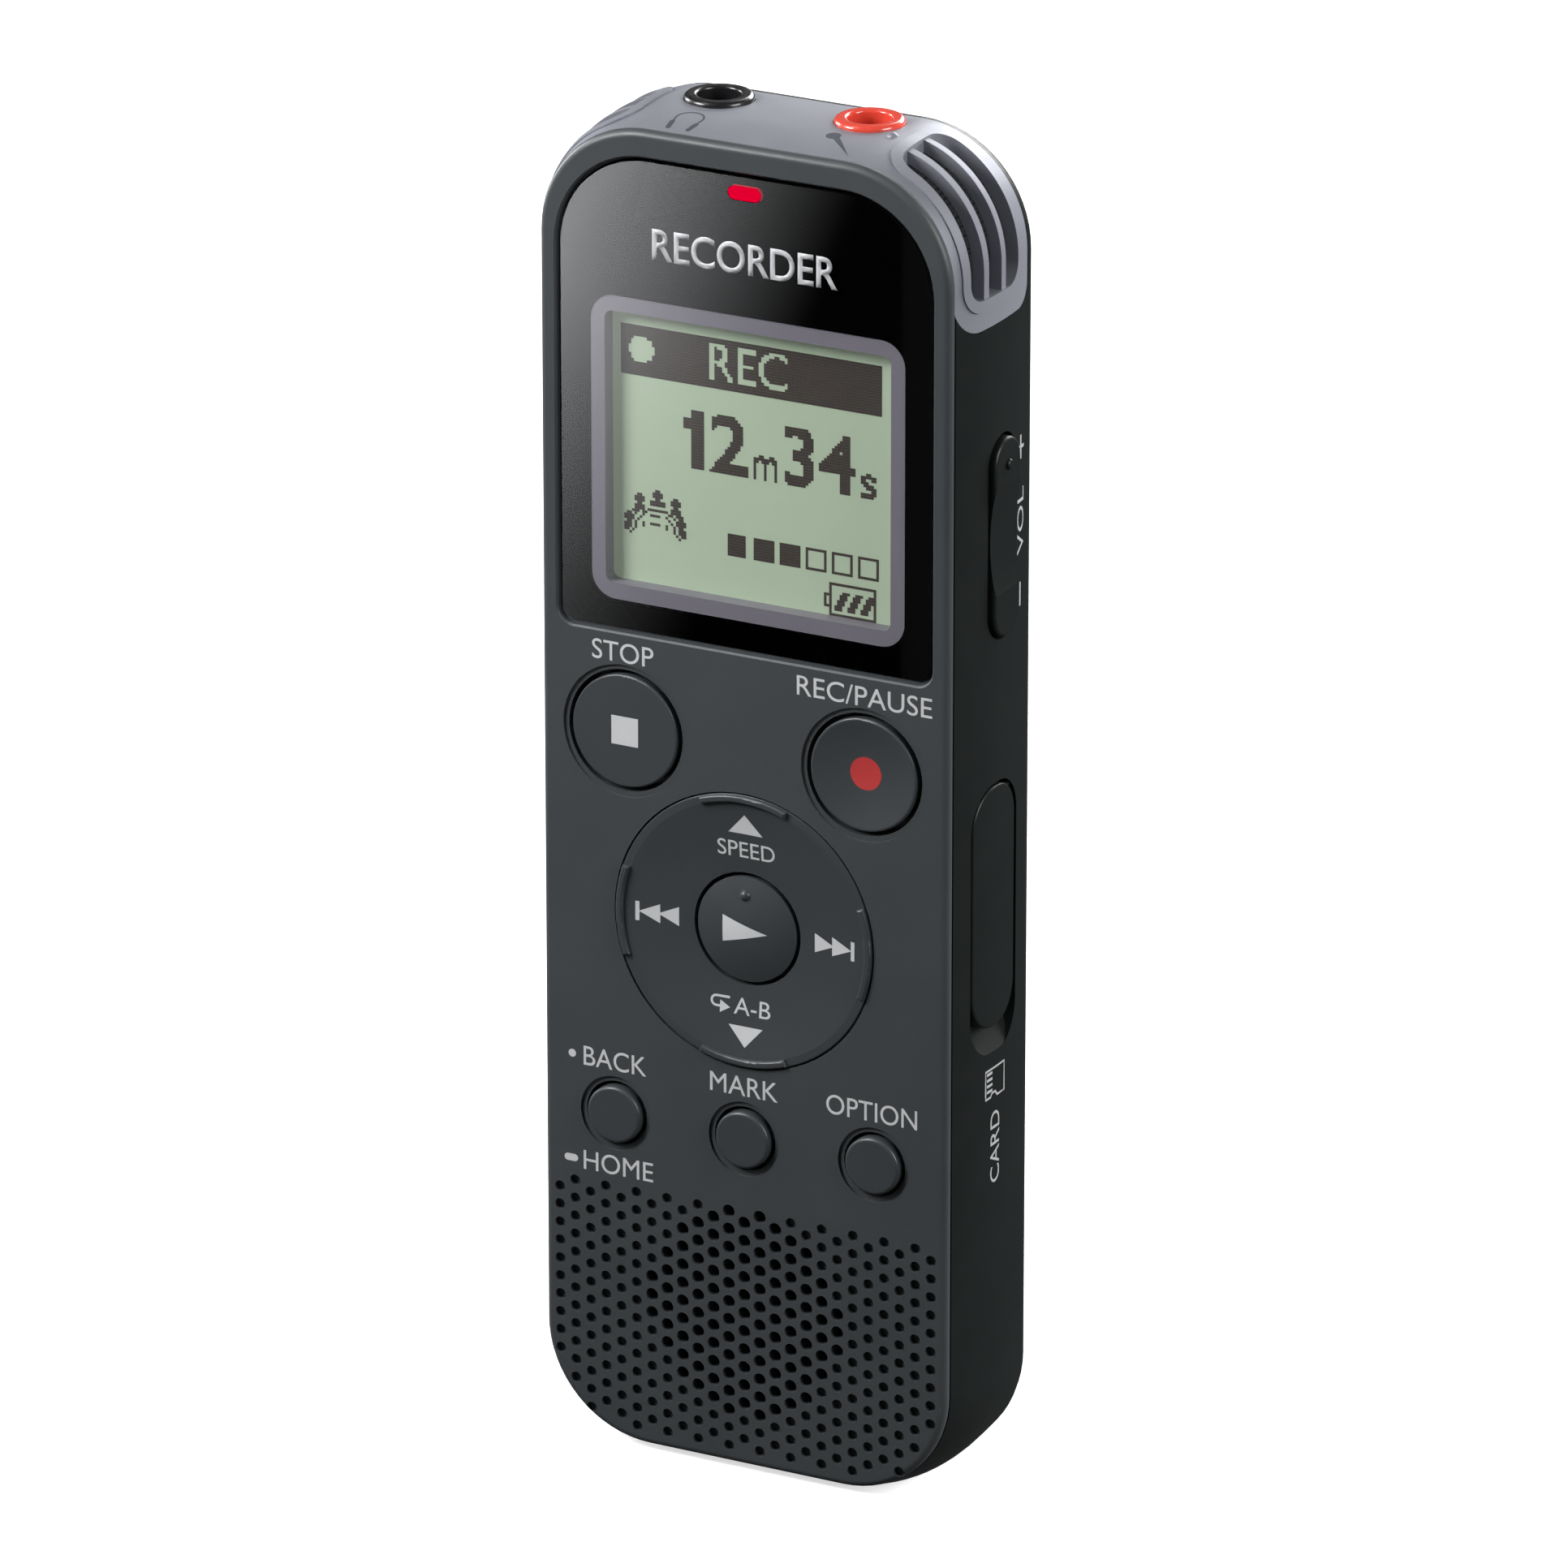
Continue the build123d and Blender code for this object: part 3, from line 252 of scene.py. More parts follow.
def lit_lamp():
    """Red light pipe with a faint glow."""
    g = Graph("lit_lamp")
    shader = g.principled(Roughness=0.3, Specular_IOR_Level=0.0)
    glow = g.blend(g.noise(700.0), (0.60, 0.0, 0.02), (0.66, 0.0, 0.03))
    g.link(glow, shader.inputs["Base Color"])
    g.link(glow, shader.inputs["Emission Color"])
    shader.inputs["Emission Strength"].default_value = 0.2
    return g.finish(shader)


def brushed_metal(name, colour, roughness):
    """Bare metal with a grain that runs up the object."""
    g = Graph(name)
    shader = g.principled(Metallic=1.0)
    grain = g.noise(1500.0, 3.0, stretch=(1, 1, 0.06))
    darker = tuple(0.8 * c for c in colour)
    g.link(g.blend(grain, darker, colour), shader.inputs["Base Color"])
    g.link(g.spread(grain, roughness - 0.06, roughness + 0.08), shader.inputs["Roughness"])
    g.link(g.bump(grain, 0.1, 0.00001), shader.inputs["Normal"])
    return g.finish(shader)


def woven_cloth():
    """Fine black acoustic cloth: crossing threads from two wave textures."""
    g = Graph("acoustic_cloth")
    shader = g.principled(Roughness=0.9, Specular_IOR_Level=0.2)
    waves = []
    for direction in ("X", "Z"):
        wave = g.node("ShaderNodeTexWave", bands_direction=direction)
        wave.inputs["Scale"].default_value = 900.0
        g.link(g.position, wave.inputs["Vector"])
        waves.append(wave.outputs["Fac"])
    crossed = g.node("ShaderNodeMath", operation="MAXIMUM")
    g.link(waves[0], crossed.inputs[0])
    g.link(waves[1], crossed.inputs[1])
    g.link(g.blend(crossed.outputs[0], (0.003, 0.003, 0.004), (0.02, 0.021, 0.024)),
           shader.inputs["Base Color"])
    g.link(g.bump(crossed.outputs[0], 0.4, 0.00004), shader.inputs["Normal"])
    return g.finish(shader)


def circuit_board():
    """Green solder mask with darker cells between paler lines."""
    g = Graph("circuit_board")
    shader = g.principled(Roughness=0.3)
    tracks = g.cells(700.0, "DISTANCE_TO_EDGE")
    g.link(g.blend(g.remap(tracks, 0.02, 0.06, 0, 1), (0.03, 0.22, 0.09), (0.012, 0.12, 0.045)),
           shader.inputs["Base Color"])
    g.link(g.bump(tracks, 0.1, 0.00002), shader.inputs["Normal"])
    return g.finish(shader)


SLEEVE_BAND_Z = (0.0655, 0.0665)    # metres


def cell_sleeve():
    """Battery sleeve: dark, with a copper-coloured part from SLEEVE_BAND_Z upwards."""
    g = Graph("cell_sleeve")
    shader = g.principled(Metallic=0.6, Roughness=0.35)
    split = g.node("ShaderNodeSeparateXYZ")
    g.link(g.position, split.inputs[0])
    band = g.remap(split.outputs["Z"], *SLEEVE_BAND_Z, 0, 1)
    g.link(g.blend(band, (0.03, 0.03, 0.032), (0.42, 0.26, 0.12)), shader.inputs["Base Color"])
    return g.finish(shader)


SLOT_MATERIALS = {
    "front_shell": moulded_plastic("front_plastic", (0.050, 0.056, 0.060), (0.056, 0.062, 0.066), 0.42),
    "body_shell": moulded_plastic("body_plastic", (0.0080, 0.0098, 0.0094), (0.0094, 0.0113, 0.0109),
                                  0.38, specular=0.34),
    "key_plastic": moulded_plastic("key_plastic", (0.044, 0.050, 0.054), (0.048, 0.054, 0.058), 0.36, 0.1),
    "black_plastic": moulded_plastic("black_plastic", (0.012, 0.012, 0.013), (0.018, 0.018, 0.019), 0.45),
    "white_plastic": moulded_plastic("white_plastic", (0.70, 0.70, 0.68), (0.78, 0.78, 0.76), 0.45),
    "rubber": moulded_plastic("soft_rubber", (0.02, 0.02, 0.021), (0.03, 0.03, 0.031), 0.7, 0.4),
    "silver_trim": satin_silver(),
    "clear_window": clear_window(),
    "black_print": smooth_plastic("black_print", (0.0008, 0.0008, 0.001), (0.0012, 0.0012, 0.0014),
                                  0.5, specular=0.0),
    "lavender_frame": smooth_plastic("lavender_frame", (0.185, 0.170, 0.200), (0.205, 0.190, 0.222), 0.35),
    "display_panel": display_glass(),
    "lamp_red": lit_lamp(),
    "steel": brushed_metal("plated_steel", (0.62, 0.62, 0.63), 0.28),
    "magnet": brushed_metal("magnet_steel", (0.35, 0.35, 0.36), 0.4),
    "mic_can": brushed_metal("microphone_can", (0.7, 0.7, 0.7), 0.3),
    "board": circuit_board(),
    "gloss_black": smooth_plastic("gloss_black", (0.008, 0.008, 0.009), (0.012, 0.012, 0.013), 0.28, 0.2),
    "gloss_red": smooth_plastic("gloss_red", (0.62, 0.055, 0.035), (0.70, 0.075, 0.045), 0.22, 0.5),
    "cloth": woven_cloth(),
    "cell": cell_sleeve(),
}
SIDE_INK = printed_ink("side_ink", (0.34, 0.345, 0.35))
WHITE_INK = printed_ink("white_ink", (0.62, 0.625, 0.635))
BRIGHT_INK = printed_ink("window_lettering", (0.55, 0.56, 0.58), 0.4)
DARK_INK = printed_ink("dark_ink", (0.045, 0.05, 0.07))
RED_INK = printed_ink("red_ink", (0.52, 0.040, 0.040))
DISPLAY_INK = printed_ink("display_dots", (0.056, 0.043, 0.037), 0.6)


def dress_cad_nodes():
    """Give every CAD node the procedural material of its slot."""
    for part in frame["record"]["subparts"]:
        node = NODES[part["node"]]
        node.data.materials.clear()
        node.data.materials.append(SLOT_MATERIALS[part["material_slot"]])


# ======== Printed marks ========
class Face:
    """A way of looking at one CAD node: u and v run across it, and n points out of it."""

    def __init__(self, node, u, v):
        self.u = Vector(u)
        self.v = Vector(v)
        self.n = self.u.cross(self.v)
        mesh = NODES[node].data
        verts = [vertex.co / MM for vertex in mesh.vertices]
        self.tree = BVHTree.FromPolygons(verts, [tuple(p.vertices) for p in mesh.polygons])
        self.body = NODES[node]["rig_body"]

    def drop(self, u, v):
        """The surface point straight below (u, v), or None past the edge."""
        start = self.u * u + self.v * v + self.n * OUTSIDE
        return self.tree.ray_cast(start, -self.n)[0]

    def place(self, u, v, w):
        """A point at height w above the surface."""
        hit = self.drop(u, v)
        if hit is None:
            raise ValueError(f"a printed mark reaches past its surface at {u:.2f}, {v:.2f}")
        return (hit + self.n * w) * MM


def piece_from(name, bm, material, body):
    """Turn a bmesh in metres into a piece on a body."""
    bmesh.ops.recalc_face_normals(bm, faces=bm.faces)
    mesh = bpy.data.meshes.new(name)
    bm.to_mesh(mesh)
    bm.free()
    mesh.materials.append(material)
    made = bpy.data.objects.new(name, mesh)
    bpy.context.scene.collection.objects.link(made)
    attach(made, body)
    return made


def cut_long_edges(bm):
    """Halve long edges until a flat shape can follow a curved surface."""
    for _halving in range(MOST_HALVINGS):
        edges = [edge for edge in bm.edges if edge.calc_length() > LONGEST_EDGE]
        if not edges:
            break
        bmesh.ops.subdivide_edges(bm, edges=edges, cuts=1)
        bmesh.ops.triangulate(bm, faces=bm.faces)


def lay_on(bm, face):
    """Wrap a flat bmesh (u, v, 0 in mm) onto a face as a thin closed layer."""
    bmesh.ops.triangulate(bm, faces=bm.faces)
    cut_long_edges(bm)
    flat = [(vertex.co.x, vertex.co.y) for vertex in bm.verts]
    top = list(bm.verts)
    faces = list(bm.faces)
    border = [edge for edge in bm.edges if edge.is_boundary]
    index_of = {vertex: index for index, vertex in enumerate(top)}
    under = [bm.verts.new() for _vertex in top]
    for vertex, twin, (u, v) in zip(top, under, flat):
        vertex.co = face.place(u, v, LIFT)
        twin.co = face.place(u, v, LIFT - PRINT_THICK)
    for polygon in faces:
        bm.faces.new([under[index_of[vertex]] for vertex in reversed(polygon.verts)])
    for edge in border:
        a, b = edge.verts
        bm.faces.new([a, b, under[index_of[b]], under[index_of[a]]])
    return bm


def add_polygon(bm, points):
    bm.faces.new([bm.verts.new((u, v, 0)) for u, v in points])


def rectangle(u_low, u_high, v_low, v_high):
    return [(u_low, v_low), (u_high, v_low), (u_high, v_high), (u_low, v_high)]


def circle(u, v, radius, count=28):
    angles = [2 * pi * i / count for i in range(count)]
    return [(u + radius * cos(angle), v + radius * sin(angle)) for angle in angles]


def pill(u, v, length, height, count=10):
    """A bar with round ends."""
    radius = height / 2
    points = []
    for end, start in ((1, -pi / 2), (-1, pi / 2)):
        centre = u + end * (length / 2 - radius)
        for i in range(count + 1):
            angle = start + pi * i / count
            points.append((centre + radius * cos(angle), v + radius * sin(angle)))
    return points


def stroke(bm, points, width):
    """A line of even width through the points, as one quad strip."""
    sides = []
    for i, point in enumerate(points):
        before = Vector(points[max(i - 1, 0)])
        after = Vector(points[min(i + 1, len(points) - 1)])
        along = (after - before).normalized()
        across = Vector((-along.y, along.x)) * width / 2
        sides.append((Vector(point) + across, Vector(point) - across))
    rows = [[bm.verts.new((side.x, side.y, 0)) for side in pair] for pair in sides]
    for first, second in zip(rows, rows[1:]):
        bm.faces.new([first[0], first[1], second[1], second[0]])


def arc_points(u, v, radius, start, end, count=16):
    steps = [radians(start + (end - start) * i / count) for i in range(count + 1)]
    return [(u + radius * cos(angle), v + radius * sin(angle)) for angle in steps]


def text_bmesh(words, u_low, u_high, v_low, v_high, weight=0.0):
    """Built-in font lettering stretched to a box. v is fitted to the height of a capital."""
    def outline(body):
        curve = bpy.data.curves.new("lettering", "FONT")
        curve.body = body
        curve.size = 1.0
        curve.offset = weight
        curve.resolution_u = 5
        holder = bpy.data.objects.new("lettering", curve)
        bpy.context.scene.collection.objects.link(holder)
        bpy.context.view_layer.update()
        evaluated = holder.evaluated_get(bpy.context.evaluated_depsgraph_get())
        mesh = bpy.data.meshes.new_from_object(evaluated)
        bpy.data.objects.remove(holder)
        bpy.data.curves.remove(curve)
        return mesh

    capital = outline("H")
    cap_low = min(vertex.co.y for vertex in capital.vertices)
    cap_high = max(vertex.co.y for vertex in capital.vertices)
    mesh = outline(words)
    left = min(vertex.co.x for vertex in mesh.vertices)
    right = max(vertex.co.x for vertex in mesh.vertices)
    bm = bmesh.new()
    bm.from_mesh(mesh)
    bpy.data.meshes.remove(mesh)
    bpy.data.meshes.remove(capital)
    bmesh.ops.remove_doubles(bm, verts=bm.verts, dist=WELD)
    for vertex in bm.verts:
        across = (vertex.co.x - left) / (right - left)
        up = (vertex.co.y - cap_low) / (cap_high - cap_low)
        vertex.co = (u_low + across * (u_high - u_low), v_low + up * (v_high - v_low), 0)
    return bm


def print_text(name, words, face, box, material=WHITE_INK, slot="front_shell", **kind):
    bm = text_bmesh(words, *box, **kind)
    return piece_from(name, lay_on(bm, face), material, face.body)


def print_shapes(name, polygons, face, material=WHITE_INK, strokes=()):
    bm = bmesh.new()
    for points in polygons:
        add_polygon(bm, points)
    for points, width in strokes:
        stroke(bm, points, width)
    return piece_from(name, lay_on(bm, face), material, face.body)


def front_face(node):
    return Face(node, (1, 0, 0), (0, 0, 1))


def right_face(node):
    """Lettering on the right wall reads upwards."""
    return Face(node, (0, 0, 1), (0, -1, 0))


def left_face(node):
    """Lettering on the left wall reads downwards."""
    return Face(node, (0, 0, -1), (0, -1, 0))


def rear_face(node):
    return Face(node, (-1, 0, 0), (0, 0, 1))


def top_face(node):
    return Face(node, (1, 0, 0), (0, 1, 0))


# Rows of lettering over the middle of a key, and mirrored under it for HOME.
BIG_KEY_ROW = (5.85, 7.5)
SMALL_KEY_ROW = (3.75, 5.4)
SHORT_PRESS_R = 0.34
LONG_PRESS = (1.25, 0.62)       # length and height of the bar before HOME


def print_label(name, words, face, middle, left, right, row):
    """A word that reaches so far to the left and right of a key's middle."""
    print_text(name, words, face, (middle - left, middle + right, *row))


def print_front_labels():
    face = front_face("front_cover")
    stop = centre_mm("stop_button")
    record = centre_mm("record_button")
    back = centre_mm("back_button")
    option = centre_mm("option_button")
    big_row = [stop.z + height for height in BIG_KEY_ROW]
    small_row = [back.z + height for height in SMALL_KEY_ROW]
    home_row = [back.z - height for height in reversed(SMALL_KEY_ROW)]
    print_label("stop_label", "STOP", face, stop.x, 2.95, 2.65, big_row)
    print_label("record_label", "REC/PAUSE", face, record.x, 6.0, 6.15, big_row)
    print_label("back_label", "BACK", face, back.x, 2.95, 2.85, small_row)
    print_label("mark_label", "MARK", face, 0.0, 3.1, 3.1, small_row)
    print_label("option_label", "OPTION", face, option.x, 4.3, 3.95, small_row)
    print_label("home_label", "HOME", face, back.x, 3.0, 3.45, home_row)
    short_press = circle(back.x - 4.0, sum(small_row) / 2, SHORT_PRESS_R)
    long_press = pill(back.x - 4.15, back.z - 4.6, *LONG_PRESS)
    print_shapes("press_marks", [short_press, long_press], face)


# Marks on the pad, as distances from its middle.
SKIP_STARTS = (6.2, 7.85)
SKIP_LENGTH = 1.85
SKIP_HALF = 0.82
SKIP_BAR = (9.65, 10.0)
ARROW_HALF = 1.55
UP_ARROW = (8.25, 9.95)
DOWN_ARROW = (8.35, 10.1)
SPEED_ROW = (6.15, 7.5)
SPEED_HALF = 2.6
REPEAT_ROW = -7.4
REPEAT_HEIGHT = 1.4
REPEAT_WORD = (-1.15, 2.2)


def skip_mark(direction):
    """Two triangles against a bar, to one side of the pad's centre."""
    low, high = PAD.z - SKIP_HALF, PAD.z + SKIP_HALF
    shapes = []
    for start in SKIP_STARTS:
        tip = start + SKIP_LENGTH
        shapes.append([(direction * start, low), (direction * start, high), (direction * tip, PAD.z)])
    shapes.append(rectangle(direction * SKIP_BAR[0], direction * SKIP_BAR[1], low, high))
    return shapes


def pad_arrow(direction, foot, tip):
    """A triangle above (1) or below (-1) the pad's centre."""
    foot_z = PAD.z + direction * foot
    return [(-ARROW_HALF, foot_z), (ARROW_HALF, foot_z), (0, PAD.z + direction * tip)]


def print_pad_marks():
    face = front_face("control_ring")
    arrows = [pad_arrow(1, *UP_ARROW), pad_arrow(-1, *DOWN_ARROW)]
    print_shapes("pad_arrows", arrows, face)
    print_shapes("skip_marks", skip_mark(-1) + skip_mark(1), face)
    speed_box = (-SPEED_HALF, SPEED_HALF, *(PAD.z + height for height in SPEED_ROW))
    print_text("speed_label", "SPEED", face, speed_box, slot="key_plastic")
    low = PAD.z + REPEAT_ROW
    print_text("repeat_label", "A-B", face, (*REPEAT_WORD, low, low + REPEAT_HEIGHT), slot="key_plastic")
    loop = arc_points(-2.75, low + 0.85, 0.42, 270, 90, 10)
    line = [(-1.55, low + 1.27)] + loop[::-1] + [(-2.3, low + 0.43)]
    head = [(-2.4, low - 0.1), (-1.5, low + 0.43), (-2.4, low + 0.96)]
    print_shapes("repeat_loop", [head], face, strokes=[(line, 0.2)])


STOP_MARK_HALF = 1.22
RECORD_MARK_R = 1.4
PLAY_MARK_X = (-1.95, 2.1)
PLAY_MARK_HALF = 1.15


def print_key_marks():
    stop = centre_mm("stop_button")
    record = centre_mm("record_button")
    half = STOP_MARK_HALF
    square = rectangle(stop.x - half, stop.x + half, stop.z - half, stop.z + half)
    print_shapes("stop_mark", [square], front_face("stop_button"))
    dot = circle(record.x, record.z, RECORD_MARK_R, 40)
    print_shapes("record_mark", [dot], front_face("record_button"), RED_INK)
    foot, tip = PLAY_MARK_X
    play = [(foot, PAD.z - PLAY_MARK_HALF), (tip, PAD.z), (foot, PAD.z + PLAY_MARK_HALF)]
    print_shapes("play_mark", [play], front_face("play_button"))


def print_window_lettering():
    face = front_face("display_window")
    top = WINDOW_HIGH.z
    box = (-8.3, 8.3, top - 8.2, top - 5.6)
    print_text("window_lettering", "RECORDER", face, box, BRIGHT_INK, "clear_window", weight=0.015)


# Marks on the walls. A depth is counted from the front face towards the back.
SIDE_LETTER_HALF = 0.62
VOLUME_DEPTH = 11.35
CARD_MARK_DEPTH = 7.15
CARD_LETTER_HALF = 0.75
CARD_WORD_LENGTH = 6.2
HOLD_DEPTH = 11.4
HOLD_WORD_LENGTH = 5.2
LEVER_DEPTH = 5.4
SIGN_ARM = 1.0          # half length of the plus and minus signs' bars
SIGN_HALF = 0.14        # half width of those bars


def print_side_marks():
    face = right_face("middle_frame")
    rocker = centre_mm("volume_rocker")
    v_line = -(FRONT_Y + VOLUME_DEPTH)
    row = (v_line - SIDE_LETTER_HALF, v_line + SIDE_LETTER_HALF)
    word = (rocker.z - 2.6, rocker.z + 2.95)
    print_text("volume_label", "VOL", face, (*word, *row), SIDE_INK, "body_shell")
    plus = rocker.z + 6.4
    minus = rocker.z - 6.0
    bar_row = (v_line - SIGN_HALF, v_line + SIGN_HALF)
    signs = [rectangle(plus - SIGN_ARM, plus + SIGN_ARM, *bar_row),
             rectangle(plus - SIGN_HALF, plus + SIGN_HALF, *row),
             rectangle(minus - SIGN_ARM, minus + SIGN_ARM, *bar_row)]
    print_shapes("volume_signs", signs, face, SIDE_INK)
    cover_low = box_mm("card_cover")[0].z
    centre_v = -(FRONT_Y + CARD_MARK_DEPTH)
    text_high = cover_low - 7.4
    box = (text_high - CARD_WORD_LENGTH, text_high, centre_v - CARD_LETTER_HALF, centre_v + CARD_LETTER_HALF)
    print_text("card_label", "CARD", face, box, SIDE_INK, "body_shell")
    print_card_sign(face, cover_low - 6.1, centre_v)


def print_left_and_rear_marks():
    """A plain word and arrows for the hold switch, the plug's lever and the battery door."""
    face = left_face("middle_frame")
    slider = centre_mm("hold_slider")
    v_line = -(FRONT_Y + HOLD_DEPTH)
    start = -slider.z + 0.5
    box = (start, start + HOLD_WORD_LENGTH, v_line - SIDE_LETTER_HALF, v_line + SIDE_LETTER_HALF)
    print_text("hold_label", "HOLD", face, box, SIDE_INK, "body_shell")
    tip = start - 1.0
    arrow = [(tip, v_line - 0.6), (tip, v_line + 0.6), (tip - 1.3, v_line)]
    lever = centre_mm("plug_lever")
    v_lever = -(FRONT_Y + LEVER_DEPTH)
    low = -lever.z + 4.0
    slide = [(low, v_lever - 0.7), (low + 1.5, v_lever), (low, v_lever + 0.7)]
    print_shapes("left_arrows", [arrow, slide], face, SIDE_INK)
    door = rear_face("battery_door")
    foot = box_mm("battery_door")[0].z
    opening = [(-1.5, foot + 3.4), (0, foot + 1.9), (1.5, foot + 3.4)]
    print_shapes("door_arrow", [opening], door, SIDE_INK)


def print_card_sign(face, low, v_mid):
    """Outline of a memory card with a notched edge and its contact strips."""
    outline = [(low + 0.5, v_mid + 1.6), (low + 2.5, v_mid + 1.6), (low + 2.5, v_mid - 1.6),
               (low, v_mid - 1.6), (low, v_mid - 0.35), (low + 0.4, v_mid), (low + 0.4, v_mid + 0.55),
               (low + 0.1, v_mid + 0.8), (low + 0.1, v_mid + 1.6), (low + 0.5, v_mid + 1.6)]
    strips = []
    for index in range(4):
        u = low + 0.55 + 0.5 * index
        strips.append(rectangle(u, u + 0.24, v_mid + 0.5, v_mid + 1.4))
    print_shapes("card_sign", strips, face, SIDE_INK, strokes=[(outline, 0.2)])


TOP_SIGN_DEPTH = 3.4


def print_top_signs():
    """A headset beside one socket and a microphone beside the other."""
    face = top_face("top_trim")
    left = centre_mm("headphone_ring")
    right = centre_mm("microphone_ring")
    v = FRONT_Y + TOP_SIGN_DEPTH
    band = arc_points(left.x + 0.15, v, 1.15, 0, 180)
    arc = [(left.x + 1.15, v - 1.1)] + band + [(left.x - 0.85, v - 1.1)]
    pads = [pill_between((left.x + 1.2, v - 0.9), (left.x + 1.05, v - 1.9), 0.42),
            pill_between((left.x - 0.9, v - 0.9), (left.x - 0.75, v - 1.9), 0.42)]
    print_shapes("headphone_sign", pads, face, DARK_INK, strokes=[(arc, 0.16)])
    head = circle(right.x - 1.0, v + 1.0, 0.62)
    body = [(right.x - 0.75, v + 0.45), (right.x - 0.35, v + 0.8), (right.x + 1.9, v - 2.0)]
    print_shapes("microphone_sign", [head, body], face, DARK_INK)


def pill_between(start, end, width):
    """A round-ended bar from one point to another."""
    length = hypot(end[0] - start[0], end[1] - start[1]) + width
    angle = atan2(end[1] - start[1], end[0] - start[0])
    mid = ((start[0] + end[0]) / 2, (start[1] + end[1]) / 2)
    turned = []
    for u, v in pill(0, 0, length, width, 6):
        turned.append((mid[0] + u * cos(angle) - v * sin(angle), mid[1] + u * sin(angle) + v * cos(angle)))
    return turned


# ======== Display picture ========
DOT = 0.235             # spacing of the display's dots
DISPLAY_SHIFT = (-1.07, -0.84)
DOT_GAP = 0.006         # bare glass left on each side of a dot
DOT_THICK = 0.02
# Limits in mm as (left, right, low, high), before the shift.
HEADER = (-11.1, 12.4, 93.1, 97.4)
HEADER_BALL = (-9.2, 95.3, 1.12)        # middle and radius
BALL_LIMITS = (-10.4, -8.0, 94.1, 96.5)
TITLE_LIMITS = (-3.0, 4.0, 93.75, 96.85)
DIGIT_ROW = (86.0, 91.0)
UNIT_ROW = (86.0, 89.0)
DIGIT_ONE = ((-4.7, -3.55, *DIGIT_ROW), (-5.4, -4.7, 89.3, 90.2))
SIGN_CORNER = (-11.1, 83.7)
LEVEL_COUNT = 6
LEVELS_FULL = 3
LEVEL_START = -1.45
LEVEL_PITCH = 2.36
LEVEL_WIDTH = 1.8
LEVEL_ROW = (79.3, 81.1)
BATTERY_FRAMES = ((7.7, 12.1, 75.6, 78.4), (7.2, 7.9, 76.4, 77.6))
CHARGE_START = 8.2
CHARGE_PITCH = 1.17
CHARGE_LEAN = 0.12      # how far each row of a charge bar moves to the right
CHARGE_WIDTH = 0.7
CHARGE_LOW = 76.1
CHARGE_ROWS = 7


def dots_from_text(words, u_low, u_high, v_low, v_high, weight):
    """Square dots whose centres fall inside lettering."""
    bm = text_bmesh(words, u_low, u_high, v_low, v_high, weight)
    bmesh.ops.triangulate(bm, faces=bm.faces)
    verts = [vertex.co.copy() for vertex in bm.verts]
    tree = BVHTree.FromPolygons(verts, [[v.index for v in polygon.verts] for polygon in bm.faces])
    bm.free()
    found = set()
    columns = range(int(u_low / DOT) - 2, int(u_high / DOT) + 3)
    rows = range(int(v_low / DOT) - 2, int(v_high / DOT) + 3)
    for column in columns:
        for row in rows:
            point = Vector(((column + 0.5) * DOT, (row + 0.5) * DOT, 1.0))
            if tree.ray_cast(point, Vector((0, 0, -1)))[0]:
                found.add((column, row))
    return found


def dot_block(u_low, u_high, v_low, v_high):
    """Every dot between four limits in mm."""
    columns = range(round(u_low / DOT), round(u_high / DOT))
    rows = range(round(v_low / DOT), round(v_high / DOT))
    return {(column, row) for column in columns for row in rows}


def dot_frame(u_low, u_high, v_low, v_high):
    inside = dot_block(u_low + DOT, u_high - DOT, v_low + DOT, v_high - DOT)
    return dot_block(u_low, u_high, v_low, v_high) - inside


def dot_pattern(rows, u_low, v_high):
    """Dots from a small drawn sign, given as rows of text, with its top left corner at (u_low, v_high)."""
    column = round(u_low / DOT)
    row = round(v_high / DOT)
    return {(column + i, row - 1 - j)
            for j, line in enumerate(rows) for i, mark in enumerate(line) if mark == "#"}


MEETING_SIGN = [
    "             ##",
    "            ####",
    "      ##    ####    ##",
    "     ####    ##    ####",
    "     ####  ######  ####",
    "      ##   ######   ##",
    "     ####          ####",
    "     #### ######## ####",
    "    ### ##        ## ###",
    "  ## #  #  ####  #  # ##",
    " ####  #          #  ####",
    " #### #            # ####",
    "  ## #  #  ####  #  # ##",
    " ### #  #        #  # ###",
    " ### #              # ###",
    " ## #                # ##",
    "   #                  #",
]


